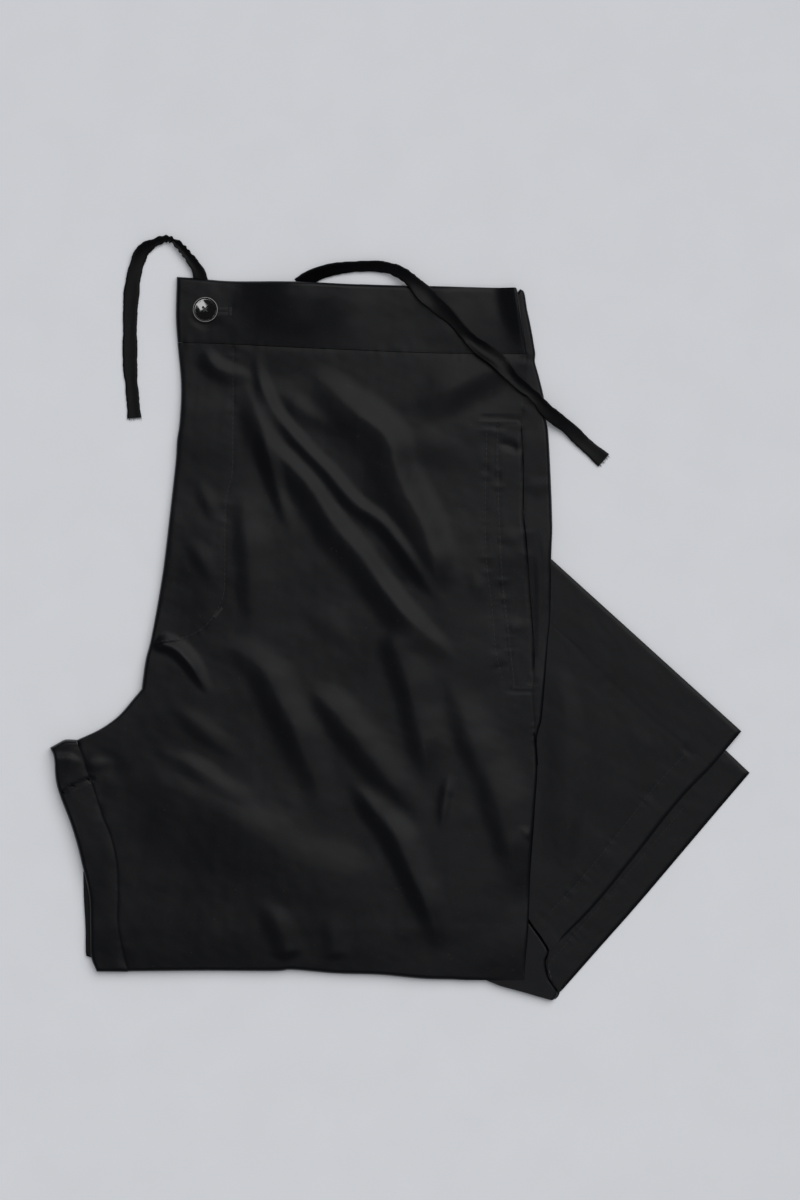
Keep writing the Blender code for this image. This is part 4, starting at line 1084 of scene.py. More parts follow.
def dust_group() -> bpy.types.NodeTree:
    """Sparse fine dust and lint: a mask of small specks.

    Returns:
        The node group.
    """
    tree, given, made = new_group("fine_dust", {"Amount": 0.3, "Scale": 700.0}, {"Mask": "NodeSocketFloat"})
    speck = tree.noise(tree.place(), given.outputs["Scale"], 1.0)
    mask = tree.map_range(speck, SPECK_RANGE, (0.0, given.outputs["Amount"]))
    tree.feed(made.inputs["Mask"], mask)
    return tree.tree


@dataclass
class Groups:
    """Node groups that the finishes share, built once."""

    weave: bpy.types.NodeTree = field(default_factory=weave_group)
    handling: bpy.types.NodeTree = field(default_factory=handling_group)
    dust: bpy.types.NodeTree = field(default_factory=dust_group)


def place_group(tree: NodeTree, group: bpy.types.NodeTree, values: dict[str, object]) -> bpy.types.Node:
    """Put a group into a material's tree with its own values.

    Args:
        tree: the material's tree.
        group: to put in.
        values: of its inputs.

    Returns:
        The placed node.
    """
    node = tree.add("ShaderNodeGroup", node_tree=group)
    for name, value in values.items():
        tree.feed(node.inputs[name], value)
    return node


def start_material(name: str) -> tuple[bpy.types.Material, NodeTree, bpy.types.Node]:
    """A new material, its tree and its Principled shader.

    Args:
        name: of the material.

    Returns:
        The material, its tree and its shader.
    """
    material = bpy.data.materials.new(name)
    material.use_nodes = True
    return material, NodeTree(material.node_tree), material.node_tree.nodes["Principled BSDF"]


@dataclass(frozen=True)
class ClothFinish:
    """Light black cloth with a soft satin sheen."""

    name: str
    colour: Triple
    roughness: float = 0.38
    specular: float = 0.122
    threads: float = 2200.0
    weave_depth: float = 0.03
    crease_depth: float = 0.06
    crease_scale: float = 70.0
    change: float = 0.16
    dust_colour: Triple = (0.10, 0.10, 0.10)

    def material(self, groups: Groups) -> bpy.types.Material:
        """The finish as a material.

        Args:
            groups: node groups that the finishes share.

        Returns:
            The material.
        """
        material, tree, shader = start_material(self.name)
        handling = place_group(tree, groups.handling, {
            "Color": (*self.colour, 1.0), "Change": self.change, "Crease Scale": self.crease_scale})
        # The weave darkens the colour where its threads lie lower: painted shade
        weave = place_group(tree, groups.weave, {
            "Color": handling.outputs["Color"], "Threads": self.threads, "Roughness": self.roughness})
        dust = place_group(tree, groups.dust, {"Amount": 0.10})
        colour = tree.mix(dust.outputs["Mask"], weave.outputs["Color"], (*self.dust_colour, 1.0))
        tree.feed(shader.inputs["Base Color"], colour)
        tree.feed(shader.inputs["Roughness"], weave.outputs["Roughness"])
        shader.inputs["Specular IOR Level"].default_value = self.specular
        creases = tree.bump(handling.outputs["Height"], self.crease_depth)
        threads = tree.bump(weave.outputs["Height"], self.weave_depth, creases)
        tree.feed(shader.inputs["Normal"], threads)
        return material


@dataclass(frozen=True)
class ButtonFinish:
    """Polished black resin."""

    name: str = "polished_black_resin"
    colour: Triple = (0.0015, 0.0015, 0.0017)
    # Pale ring at the rim, between the radii of edge: a painted highlight for the rim's reflection of the
    # light
    highlight_ring_colour: Triple = (0.28, 0.28, 0.28)
    edge: tuple[float, float, float, float] = (7.22, 7.34, 7.5, 7.62)
    middle: Point = BUTTON_AT
    roughness: float = 0.04
    specular: float = 0.22
    dust_colour: Triple = (0.05, 0.05, 0.05)

    def material(self, groups: Groups) -> bpy.types.Material:
        """The finish as a material.

        Args:
            groups: node groups that the finishes share.

        Returns:
            The material.
        """
        material, tree, shader = start_material(self.name)
        dust = place_group(tree, groups.dust, {"Amount": 0.2, "Scale": 2600.0})
        place = tree.place()
        cloud = tree.map_range(tree.noise(place, 420.0, 3.0), NOISE_RANGE,
                               (self.roughness * 0.7, self.roughness * 1.5))
        tree.feed(shader.inputs["Roughness"], cloud)
        shader.inputs["Specular IOR Level"].default_value = self.specular
        dusty = tree.mix(dust.outputs["Mask"], (*self.colour, 1.0), (*self.dust_colour, 1.0))
        # Painted highlight: the pale ring is mixed into the colour at the rim
        with_highlight_ring = tree.mix(self.highlight_ring_mask(tree, place), dusty, (*self.highlight_ring_colour, 1.0))
        tree.feed(shader.inputs["Base Color"], with_highlight_ring)
        return material

    def highlight_ring_mask(self, tree: NodeTree, place: Socket) -> Socket:
        """Mask of the pale ring that runs round the button's rim: a painted highlight for the rim's
        reflection of the light.

        Args:
            tree: the material's tree.
            place: position on the object.

        Returns:
            The mask.
        """
        axes = tree.axes(place)
        across, up = (tree.sum("SUBTRACT", axes[axis], self.middle[axis] * MM) for axis in (0, 1))
        squares = tree.sum("MULTIPLY", across, across), tree.sum("MULTIPLY", up, up)
        radius = tree.sum("SQRT", tree.sum("ADD", *squares))
        steps = [tree.map_range(radius, (low * MM, high * MM), interpolation_type="SMOOTHSTEP")
                 for low, high in ((self.edge[0], self.edge[1]), (self.edge[3], self.edge[2]))]
        return tree.sum("MULTIPLY", *steps)


@dataclass(frozen=True)
class ThreadFinish:
    """Black sewing thread with a twist."""

    name: str = "black_thread"
    colour: Triple = (0.013, 0.013, 0.0145)

    def material(self, groups: Groups) -> bpy.types.Material:
        """The finish as a material.

        Args:
            groups: node groups that the finishes share.

        Returns:
            The material.
        """
        material, tree, shader = start_material(self.name)
        # The weave darkens the colour where its threads lie lower: painted shade
        weave = place_group(tree, groups.weave, {
            "Color": (*self.colour, 1.0), "Threads": 4200.0, "Tone And Hollow Shade": 0.8, "Roughness": 0.42})
        tree.feed(shader.inputs["Base Color"], weave.outputs["Color"])
        tree.feed(shader.inputs["Roughness"], weave.outputs["Roughness"])
        shader.inputs["Specular IOR Level"].default_value = 0.2
        return material


@dataclass(frozen=True)
class FloorFinish:
    """Pale grey paper backdrop."""

    name: str = "pale_paper"
    colour: Triple = (0.637, 0.648, 0.675)

    def material(self, groups: Groups) -> bpy.types.Material:
        """The finish as a material.

        Args:
            groups: node groups that the finishes share.

        Returns:
            The material.
        """
        material, tree, shader = start_material(self.name)
        marks = place_group(tree, groups.handling, {"Color": (*self.colour, 1.0), "Change": 0.012})
        tree.feed(shader.inputs["Base Color"], marks.outputs["Color"])
        grain = tree.map_range(tree.noise(tree.place(), 900.0, 2.0), NOISE_RANGE, (0.8, 0.95))
        tree.feed(shader.inputs["Roughness"], grain)
        shader.inputs["Specular IOR Level"].default_value = 0.2
        return material


class FrontSurface:
    """Height of the front over the surface that the garment rests on."""

    waver = (Ripple(0.8, 40, 90, 21), Ripple(0.8, 40, 90, 22))
    ripples = (Ripple(0.75, 42, 120, 8), Ripple(0.15, 10, 34, 3), Ripple(0.03, 3.5, 8, 4))
    puckers = (
        Pucker(FLY_ROW, 0.13, 3.0, 7.0), Pucker(POCKET_INNER_ROW, 0.27, 3.4, 7.0),
        Pucker(POCKET_OUTER_ROW, 0.25, 3.0, 6.0), Pucker(WAIST_SEAM, 0.15, 3.5, 9.0),
        Pucker(SIDE_SEAM[:13], 0.16, 3.0, 8.0), Pucker(INSEAM, 0.13, 3.0, 9.5),
    )

    def pile(self, x: np.ndarray, y: np.ndarray) -> np.ndarray:
        """Height before any fold.

        Args:
            x: plan positions across.
            y: plan positions up the garment.

        Returns:
            One height for each position.
        """
        table = np.array(PILE_BY_Y)[::-1]
        height = np.interp(y, table[:, 0], table[:, 1])
        height = height - SIDE_FALL[0] * smoothstep(SIDE_FALL[1], SIDE_FALL[2], x)
        edge = x_at(CENTRE_FRONT + CROTCH_CURVE[1:], y)
        near_edge = 1 - smoothstep(0, FRONT_FALL[1], x - edge)
        return height - FRONT_FALL[0] * near_edge * smoothstep(-60, 0, y)

    def height(self, x: np.ndarray, y: np.ndarray, folds: list[Fold]) -> np.ndarray:
        """Height with folds, ripples and gathers.

        Args:
            x: plan positions across.
            y: plan positions up the garment.
            folds: the ridges to add.

        Returns:
            One height for each position.
        """
        total = self.pile(x, y)
        moved_x, moved_y = x + self.waver[0].lift(x, y), y + self.waver[1].lift(x, y)
        for fold in folds:
            total = total + fold.lift(moved_x, moved_y)
        if folds is FRONT_FOLDS:
            total = total + sum(fold.lift(x, y) for fold in BAND_FOLDS) * self.seam_share(x, y)
        for wave in self.ripples + self.puckers:
            total = total + wave.lift(x, y)
        return total

    def seam_share(self, x: np.ndarray, y: np.ndarray) -> np.ndarray:
        """How far a position is from the waist seam: 0 at the seam, 1 away from it.

        Args:
            x: plan positions across.
            y: plan positions up the garment.

        Returns:
            Share of the band's folds at each position.
        """
        seam = np.interp(x, *np.array(WAIST_SEAM).T)
        left = 1 - np.clip((y - seam) / BAND_SEAM_REACH, 0, 1)
        rise = (1 - left * left + smoothstep(0, BAND_SEAM_REACH, y - seam)) / 2
        above = BAND_SEAM_SHARE + (1 - BAND_SEAM_SHARE) * rise
        below = BAND_SEAM_SHARE * (1 - smoothstep(0, FRONT_SEAM_REACH, seam - y))
        return np.where(y > seam, above, below)

    def band_height(self, x: np.ndarray, y: np.ndarray) -> np.ndarray:
        """Height of the waistband's face; its folds sink towards the waist seam."""
        folds = sum(fold.lift(x, y) for fold in BAND_FOLDS)
        return self.height(x, y, []) + folds * self.seam_share(x, y) + BAND_RISE

    def on_front(self, grid: np.ndarray, gap: float) -> np.ndarray:
        """Points of the front's surface under a plan grid, moved out by a gap.

        Args:
            grid: plan points.
            gap: distance from the surface.

        Returns:
            Rows of points.
        """
        heights = self.height(grid[..., 0], grid[..., 1], FRONT_FOLDS)
        share = np.clip(1 - (grid[..., 0] - x_at(CENTRE_FRONT, grid[..., 1])) / ROLL_WIDTH, 0, 1)
        heights = RIM_HEIGHT + (heights - RIM_HEIGHT) * np.sqrt(1 - share * share)
        surface = np.dstack([grid, heights])
        return surface + gap * grid_normals(surface)


SURFACE = FrontSurface()


@dataclass
class Sewer:
    """Sets stitches on the cloth and makes one object of each group of rows."""

    material: bpy.types.Material
    sides: int = 6
    rings: tuple[Point, ...] = ((-0.5, 0.25), (-0.36, 0.85), (0.0, 1.0), (0.36, 0.85), (0.5, 0.25))
    points: list[np.ndarray] = field(default_factory=list)
    faces: list[np.ndarray] = field(default_factory=list)
    count: int = 0

    def stitch(self, start: np.ndarray, end: np.ndarray, width: float) -> None:
        """One stitch from start to end, as a small spindle of thread.

        Args:
            start: its first end.
            end: its other end.
            width: of the thread.
        """
        run = end - start
        side = np.cross(run, (0, 0, 1))
        side = side / max(np.linalg.norm(side), 1e-9)
        up = np.cross(side, run)
        up = up / max(np.linalg.norm(up), 1e-9)
        middle = (start + end) / 2
        turns = np.arange(self.sides) * 2 * math.pi / self.sides
        circle = np.cos(turns)[:, None] * side + 0.7 * np.sin(turns)[:, None] * up
        rows = [middle + run * along + circle * width / 2 * size for along, size in self.rings]
        self.points.append(np.vstack(rows))
        self.faces.append(tube_faces(len(self.rings), self.sides, self.count)[:, ::-1])
        self.count += self.sides * len(self.rings)

    def row(self, line: list[Point] | np.ndarray, kind: Sewing, height: HeightAt) -> None:
        """A row of stitches along a line.

        Args:
            line: plan points.
            kind: the way of sewing.
            height: gives the cloth's height at plan positions.
        """
        long, pitch, width = kind.value
        total = line_length(line)
        starts = np.arange(0.4, total - long, pitch)
        a, b = spaced(line, starts / total), spaced(line, (starts + long) / total)
        z_a, z_b = height(a[:, 0], a[:, 1]), height(b[:, 0], b[:, 1])
        lift = 0.18 * width
        for start, end, low, high in zip(a, b, z_a, z_b):
            self.stitch(np.array([*start, low + lift]), np.array([*end, high + lift]), width)

    def bar(self, start: Point, end: Point, kind: Sewing, height: HeightAt) -> None:
        """A bar tack from start to end: close stitches across its line.

        Args:
            start: its first end.
            end: its other end.
            kind: the way of sewing.
            height: gives the cloth's height at plan positions.
        """
        long, pitch, width = kind.value
        a, b = np.array(start), np.array(end)
        total = float(np.linalg.norm(b - a))
        across = np.array([a[1] - b[1], b[0] - a[0]]) / total * long / 2
        for share in np.arange(0, 1.0001, pitch / total):
            middle = a + (b - a) * share
            z = float(height(np.array([middle[0]]), np.array([middle[1]]))[0]) + 0.35 * width
            self.stitch(np.array([*(middle - across), z]), np.array([*(middle + across), z]), width)

    def finish(self, name: str) -> bpy.types.Object:
        """Make the object of all stitches since the last one, and start afresh.

        Args:
            name: of the object.

        Returns:
            The object.
        """
        made = add_mesh(name, np.vstack(self.points), np.vstack(self.faces), self.material)
        declare(made, Slot.CLOTH)
        self.points, self.faces, self.count = [], [], 0
        return made


@dataclass
class FrontPanel:
    """Left front with its fly, pocket welt and their sewing."""

    step: float = 1.7
    wall: float = 0.9
    applied: float = 0.36
    front_cut: Point = (0.283, 0.392)
    front_area: float = 0.0940
    fly_cut: Point = (0.048, 0.186)
    fly_area: float = 0.0064
    welt_cut: Point = (0.0165, 0.163)
    across: float = 225.0
    glued: float = 0.04

    # Where the rims change: y of the crotch, y of the leg's root and x of the turn below
    crotch_y: Point = (-66.0, -60.0)
    root_y: Point = (-64.0, -56.0)
    turn_x: Point = (28.0, 42.0)

    def grid(self) -> np.ndarray:
        """Plan grid of the front, from waist seam to bottom fold.

        Returns:
            Plan points.
        """
        left = np.vstack([
            spaced(CENTRE_FRONT, np.linspace(0, 1, round(line_length(CENTRE_FRONT) / self.step))),
            spaced(CROTCH_CURVE, np.linspace(0, 1, round(line_length(CROTCH_CURVE) / self.step)))[1:],
            spaced(INSEAM, rim_shares(line_length(INSEAM), self.step, (False, True)))[1:]])
        ends = (INSEAM[-1][1], CENTRE_FRONT[0][1]), (SIDE_SEAM[-1][1], SIDE_SEAM[0][1])
        right_y = np.interp(left[:, 1], *ends)
        right = np.column_stack([x_at(SIDE_SEAM, right_y), right_y])
        shares = rim_shares(self.across, self.step, (True, True))
        return patch(spaced(WAIST_SEAM, shares), spaced(BOTTOM_FOLD, shares), left, right)

    def build_front(self, cloth: bpy.types.Material) -> bpy.types.Object:
        """The panel as one shell.

        Args:
            cloth: its finish.

        Returns:
            The piece.
        """
        grid = self.grid()
        heights = SURFACE.height(grid[..., 0], grid[..., 1], FRONT_FOLDS)
        left_top, right_top = heights[:, 0], heights[:, -1]
        above_seam = smoothstep(*self.crotch_y, grid[:, 0, 1])
        fold_side = 1 - smoothstep(*self.root_y, grid[:, -1, 1])
        on_turn = smoothstep(*self.turn_x, grid[-1, :, 0])
        heights = rolled(grid, heights, {
            Side.LEFT: left_top + (RIM_HEIGHT - left_top) * above_seam,
            Side.RIGHT: right_top + (RIM_ON_LEGS - right_top) * fold_side,
            Side.BOTTOM: RIM_HEIGHT + (RIM_ON_LEGS - RIM_HEIGHT) * on_turn})
        return cloth_shell("front_cloth", grid, heights, self.wall, cloth)

    def build_fly(self, cloth: bpy.types.Material) -> bpy.types.Object:
        """The fly's double layer inside its row of stitches.

        Args:
            cloth: its finish.

        Returns:
            The piece.
        """
        rows = round(line_length(FLY_RIGHT) / self.step)
        right = spaced(FLY_RIGHT, np.linspace(0, 1, rows))
        left_y = np.linspace(179.9, -4.5, rows)
        left = np.column_stack([x_at(CENTRE_FRONT, left_y) + 1.4, left_y])
        grid = side_patch(left, right, np.linspace(0, 1, 24))
        outer, inner = SURFACE.on_front(grid, self.applied), SURFACE.on_front(grid, self.glued)
        return closed_wall("fly_cloth", outer, inner, cloth)

    def build_welt(self, cloth: bpy.types.Material) -> bpy.types.Object:
        """The pocket's welt along its opening.

        Args:
            cloth: its finish.

        Returns:
            The piece.
        """
        left_y = np.linspace(WELT_LEFT[0][1], WELT_LEFT[-1][1], 100)
        left = np.column_stack([x_at(WELT_LEFT, left_y), left_y])
        right = np.column_stack([x_at(SIDE_SEAM, left_y) - 0.7, left_y])
        grid = side_patch(left, right, np.linspace(0, 1, 12))
        outer, inner = SURFACE.on_front(grid, self.applied), SURFACE.on_front(grid, self.glued)
        return closed_wall("welt_cloth", outer, inner, cloth)

    def sew(self, sewer: Sewer) -> tuple[bpy.types.Object, bpy.types.Object]:
        """Topstitching of the fly, and the rows and bar tacks of the pocket.

        Args:
            sewer: sets the stitches.

        Returns:
            The fly's sewing and the pocket's.
        """
        def on_cloth(x: np.ndarray, y: np.ndarray) -> np.ndarray:
            """Height of the applied layers' top."""
            return SURFACE.height(x, y, FRONT_FOLDS) + self.applied

        sewer.row(FLY_ROW, Sewing.TOPSTITCH, on_cloth)
        sewer.bar((-113.5, 13.0), (-108.8, 18.6), Sewing.BAR, on_cloth)
        fly_sewing = sewer.finish("fly_sewing")
        sewer.row(POCKET_INNER_ROW, Sewing.TOPSTITCH, on_cloth)
        sewer.row(POCKET_OUTER_ROW, Sewing.TOPSTITCH, lambda x, y: on_cloth(x, y) - self.applied)
        sewer.row(POCKET_TOP_ROW, Sewing.EDGE, on_cloth)
        sewer.bar((69.0, -30.3), (81.0, -30.6), Sewing.BAR, on_cloth)
        sewer.bar((61.0, 132.6), (72.5, 132.4), Sewing.BAR, on_cloth)
        return fly_sewing, sewer.finish("pocket_sewing")

    def build(self, cloth: bpy.types.Material, sewer: Sewer) -> None:
        """Make and declare every piece of the panel.

        Args:
            cloth: its finish.
            sewer: sets the stitches.
        """
        front, fly, welt = self.build_front(cloth), self.build_fly(cloth), self.build_welt(cloth)
        fly_sewing, pocket_sewing = self.sew(sewer)
        declare(front, Slot.CLOTH, "front_left")
        declare(fly, Slot.CLOTH, "fly")
        declare(welt, Slot.CLOTH, "pocket_welt")
        LOG.info("front panel: %d, fly %d, welt %d faces",
                 *(len(piece.data.polygons) for piece in (front, fly, welt)))


@dataclass
class BackPieces:
    """Left back where it shows: beside the pocket, and beyond the inseam."""

    step: float = 1.6
    wall: float = 0.9
    side_cut: Point = (0.0132, 0.260)
    inseam_cut: Point = (0.0235, 0.148)
    taper: float = 30.0
    least_width: float = 0.4
    side_columns: tuple[float, ...] = (
        0, .08, .16, .25, .34, .44, .54, .63, .72, .8, .87, .93, .97, 1)
    inseam_columns: tuple[float, ...] = (
        0, .01, .03, .06, .1, .15, .21, .28, .37, .48, .6, .72, .82, .9, .95, .975, .99, 1)

    def build_side(self, cloth: bpy.types.Material) -> bpy.types.Object:
        """The back's strip beside the pocket.

        Args:
            cloth: its finish.

        Returns:
            The piece.
        """
        seam_top = SIDE_SEAM[0][1]
        y = np.linspace(SIDE_OUTER[0][1], SIDE_OUTER[-1][1], 160)
        left_x = np.where(y > seam_top, x_at(BAND_RIGHT, y), x_at(SIDE_SEAM, y)) + SEWN_GAP
        left = np.column_stack([left_x, y])
        taper = smoothstep(SIDE_OUTER[-1][1], SIDE_OUTER[-1][1] + self.taper, y)
        width = np.maximum((x_at(SIDE_OUTER, y) - left_x) * taper, self.least_width)
        grid = side_patch(left, np.column_stack([left_x + width, y]), np.array(self.side_columns))
        heights = SURFACE.height(grid[..., 0], grid[..., 1], SIDE_FOLDS)
        rim = RIM_HEIGHT + (RIM_ON_LEGS - RIM_HEIGHT) * (1 - smoothstep(64, 78, y))
        heights = rolled(grid, heights, {Side.RIGHT: rim, Side.BOTTOM: RIM_ON_LEGS})
        return cloth_shell("side_cloth", grid, heights, self.wall, cloth)

    def build_inseam(self, cloth: bpy.types.Material) -> bpy.types.Object:
        """The back's strip beyond the inseam, with the crotch point.

        Args:
            cloth: its finish.

        Returns:
            The piece.
        """
        rows = rim_shares(line_length(INSEAM), self.step, (True, True))
        right = spaced(INSEAM, rows) - np.array([SEWN_GAP, 0])
        left = spaced(INSEAM_OUTER, rows)
        shares = np.array(self.inseam_columns)
        top = spaced([left[0], *INSEAM_TOP, right[0]], shares)
        grid = patch(top, spaced([left[-1], right[-1]], shares), left, right)
        heights = SURFACE.height(grid[..., 0], grid[..., 1], FRONT_FOLDS)
        above_ledge = smoothstep(-142, -130, left[:, 1])
        heights = rolled(grid, heights, {
            Side.LEFT: RIM_HEIGHT + (RIM_ON_LEDGE - RIM_HEIGHT) * (1 - above_ledge),
            Side.TOP: RIM_HEIGHT, Side.BOTTOM: RIM_AT_BOTTOM})
        return cloth_shell("inseam_cloth", grid, heights, self.wall, cloth)

    def build(self, cloth: bpy.types.Material, sewer: Sewer) -> None:
        """Make and declare both strips.

        Args:
            cloth: its finish.
            sewer: sets the stitches.
        """
        side, inseam = self.build_side(cloth), self.build_inseam(cloth)
        sewer.row([(-207.0, -73.0), (-197.3, -71.8)], Sewing.EDGE,
                  lambda x, y: SURFACE.height(x, y, FRONT_FOLDS))
        tab = sewer.finish("crotch_sewing")
        declare(side, Slot.CLOTH, "back_left_side")
        declare(inseam, Slot.CLOTH, "back_left_inseam")
        LOG.info("back pieces: %d and %d faces", len(side.data.polygons), len(inseam.data.polygons))


@dataclass
class Waistband:
    """Waistband with its buttonhole, and its back length at the side."""

    step: float = 1.5
    wall: float = 1.1
    front_cut: Point = (0.217, 0.042)
    back_cut: Point = (0.0105, 0.0335)
    back_area: float = 0.00019
    length: float = 215.0
    width: float = 40.0
    back_width: float = 32.0
    hole_from: Point = (-113.5, 200.3)
    hole_to: Point = (-105.2, 200.3)

    def height(self, x: np.ndarray, y: np.ndarray) -> np.ndarray:
        """Height of the band's face."""
        return SURFACE.band_height(x, y)

    def build_front(self, cloth: bpy.types.Material) -> bpy.types.Object:
        """The band's front length, pressed along its top edge.

        Args:
            cloth: its finish.

        Returns:
            The piece.
        """
        columns = rim_shares(self.length, self.step, (True, True))
        rows = rim_shares(self.width, self.step, (True, False))
        seam = spaced(WAIST_SEAM, columns) + np.array([0, SEAM_GAP])
        grid = patch(spaced(BAND_TOP, columns), seam, spaced(BAND_LEFT, rows), spaced(BAND_RIGHT, rows))
        heights = self.height(grid[..., 0], grid[..., 1])
        heights = rolled(grid, heights, {
            Side.LEFT: RIM_HEIGHT, Side.TOP: RIM_HEIGHT, Side.RIGHT: RIM_BY_BACK_BAND})
        return cloth_shell("waistband_cloth", grid, heights, self.wall, cloth)

    def build_back(self, cloth: bpy.types.Material) -> bpy.types.Object:
        """The back length that shows at the side, with its cross seams.

        Args:
            cloth: its finish.

        Returns:
            The piece.
        """
        rows = rim_shares(self.back_width, self.step, (True, False))
        left = spaced(BACK_BAND_INNER, rows) - np.array([1.4, 0])
        right = spaced(BACK_BAND_OUTER, rows)
        left[-1, 1] = right[-1, 1] = SIDE_OUTER[0][1] - 0.6
        grid = side_patch(left, right, np.linspace(0, 1, 8))
        heights = SURFACE.pile(grid[..., 0], grid[..., 1]) - 0.5
        heights = rolled(grid, heights, {Side.RIGHT: RIM_HEIGHT, Side.TOP: RIM_HEIGHT})
        return cloth_shell("waistband_back_cloth", grid, heights, self.wall, cloth)

    def sew_hole(self, sewer: Sewer) -> bpy.types.Object:
        """The buttonhole's end: two close rows and a bar.

        Args:
            sewer: sets the stitches.

        Returns:
            The sewing.
        """
        (x0, y0), (x1, _) = self.hole_from, self.hole_to
        for lift in (-1.5, 1.5):
            sewer.bar((x0, y0 + lift), (x1, y0 + lift), Sewing.HOLE, self.height)
        sewer.bar((x1 + 1.2, y0 - 2.2), (x1 + 1.2, y0 + 2.2), Sewing.BAR, self.height)
        return sewer.finish("buttonhole")

    def build(self, cloth: bpy.types.Material, sewer: Sewer) -> None:
        """Args:
            cloth: its finish.
            sewer: sets the stitches.
        """
        front, back = self.build_front(cloth), self.build_back(cloth)
        hole = self.sew_hole(sewer)
        declare(front, Slot.CLOTH, "waistband_front")
        declare(back, Slot.CLOTH, "waistband_back")
        LOG.info("waistband: %d and %d faces", len(front.data.polygons), len(back.data.polygons))


@dataclass
class LowerLegs:
    """Turned lower legs, pressed flat, and the corner where they turn."""

    step: float = 2.4
    rim_drop: float = 0.7
    rim_width: float = 2.5
    hem_in: float = 17.0
    shelf: float = 1.5
    left_cut: Point = (0.160, 0.235)
    left_area: float = 0.0160
    strip_cut: Point = (0.195, 0.042)
    strip_area: float = 0.0058
    right_cut: Point = (0.176, 0.300)
    right_area: float = 0.0227
    turn_cut: Point = (0.045, 0.068)
    turn_area: float = 0.0017
    strip_top: float = 74.5
    right_top: float = 60.0
    turn_gap: float = 0.7
    turn_rim: float = 0.35
    turn_roll: float = 1.6
    turn_crowding: float = 1.7
    mouth_out: tuple[float, ...] = (1.2, 1.5, 1.6, 1.4)

    def height(self, x: np.ndarray, y: np.ndarray) -> np.ndarray:
        """Folds and ripples of the legs' cloth over their plies.

        Args:
            x: plan positions across.
            y: plan positions up the garment.

        Returns:
            One height for each position.
        """
        total = Ripple(0.13, 10, 40, 31).lift(x, y) + Ripple(0.03, 3.5, 8, 32).lift(x, y)
        for fold in LEG_FOLDS:
            total = total + fold.lift(x, y)
        return total

    def pad(self, name: str, left: np.ndarray, right: np.ndarray, base: float, rims: tuple[Side, ...],
            puckers: list[Pucker], cloth: bpy.types.Material) -> bpy.types.Object:
        """One leg's pressed plies between its root and its hem.

        Args:
            name: of the object.
            left: border at the leg's root.
            right: border at the hem.
            base: height of the underside.
            rims: sides that are pressed lower.
            puckers: gathers along its sewing.
            cloth: its finish.

        Returns:
            The pad.
        """
        wide = max(float(np.linalg.norm(left[end] - right[end])) for end in (0, -1))
        grid = side_patch(left, right, rim_shares(wide, self.step, (False, True)))
        relief = self.height(grid[..., 0], grid[..., 1])
        for pucker in puckers:
            relief = relief + pucker.lift(grid[..., 0], grid[..., 1])
        heights = base + LEG_PLIES + relief - relief.min() * 0.3
        for side in rims:
            border = grid[:, -1:] if side is Side.RIGHT else grid[:1]
            distance = np.linalg.norm(grid - border, axis=2)
            near = np.clip(1 - distance / self.rim_width, 0, 1) ** 2
            heights = heights * (1 - near) + near * (base + LEG_PLIES - self.rim_drop)
        return plied_pad(name, grid, heights, base, 2, 0.45, cloth)

    def hem_row(self, hem: list[Point]) -> list[Point]:
        """Row of stitches that runs inside a hem.

        Args:
            hem: plan points of the hem.

        Returns:
            Plan points of the row.
        """
        line = np.array(hem)
        run = line[-1] - line[0]
        inward = np.array([run[1], -run[0]]) / np.linalg.norm(run)
        return [tuple(point + inward * self.hem_in) for point in line]

    def build_left(self, turn: list[Point], puckers: list[Pucker],
                   cloth: bpy.types.Material) -> tuple[bpy.types.Object, bpy.types.Object]:
        """The left leg: its main panel, and the strip beyond its seam.

        Args:
            turn: edge of the turn, from the leg's root on.
            puckers: gathers along the seam and the hem.
            cloth: its finish.

        Returns:
            The main panel and the strip.
        """
        seam, rows = puckers[0].line, np.linspace(0, 1, 110)
        root = spaced([seam[0], (LEG_ROOT_X, turn[0][1])], rows[:90] / rows[89], 1)
        border = np.vstack([root, spaced(turn[:5], np.linspace(0, 1, 21))[1:]])
        hem = spaced([seam[-1]] + LEFT_LEG_HEM[1:], rows)
        panel = self.pad("left_leg_cloth", border, hem, LEFT_LEG_BASE, (Side.RIGHT,), puckers, cloth)
        rows = np.linspace(0, 1, 26)
        root = spaced([(LEG_ROOT_X, self.strip_top), LEFT_LEG_SEAM[0]], rows)
        hem = spaced([LEFT_LEG_TOP_CORNER, LEFT_LEG_SEAM[-1]], rows)
        strip = self.pad("left_leg_strip_cloth", root, hem, LEFT_LEG_BASE, (Side.RIGHT, Side.TOP),
                         puckers[:1], cloth)
        return panel, strip

    def build_right(self, turn: list[Point], hem_row: list[Point],
                    cloth: bpy.types.Material) -> bpy.types.Object:
        """The right leg, which lies under the left one and into the turn.

        Args:
            turn: edge of the turn, from the leg's root on.
            hem_row: row of stitches inside its hem.
            cloth: its finish.

        Returns:
            The leg.
        """
        mouth = [(x + out, y) for (x, y), out in zip(TURN_OUTER[5:9], self.mouth_out)]
        under = [(max(x - 0.4, LEG_ROOT_X), y) for x, y in turn[:5]]
        root = spaced([(LEG_ROOT_X, self.right_top), (LEG_ROOT_X, turn[0][1])], np.linspace(0, 1, 90), 1)
        border = np.vstack([root, spaced(under + mouth, np.linspace(0, 1, 40), 2)[1:]])
        hem = spaced(RIGHT_LEG_HEM, np.linspace(0, 1, len(border)))
        return self.pad("right_leg_cloth", border, hem, 0.0, (Side.RIGHT, Side.TOP),
                        [Pucker(hem_row, 0.10, 4.0, 7.5)], cloth)

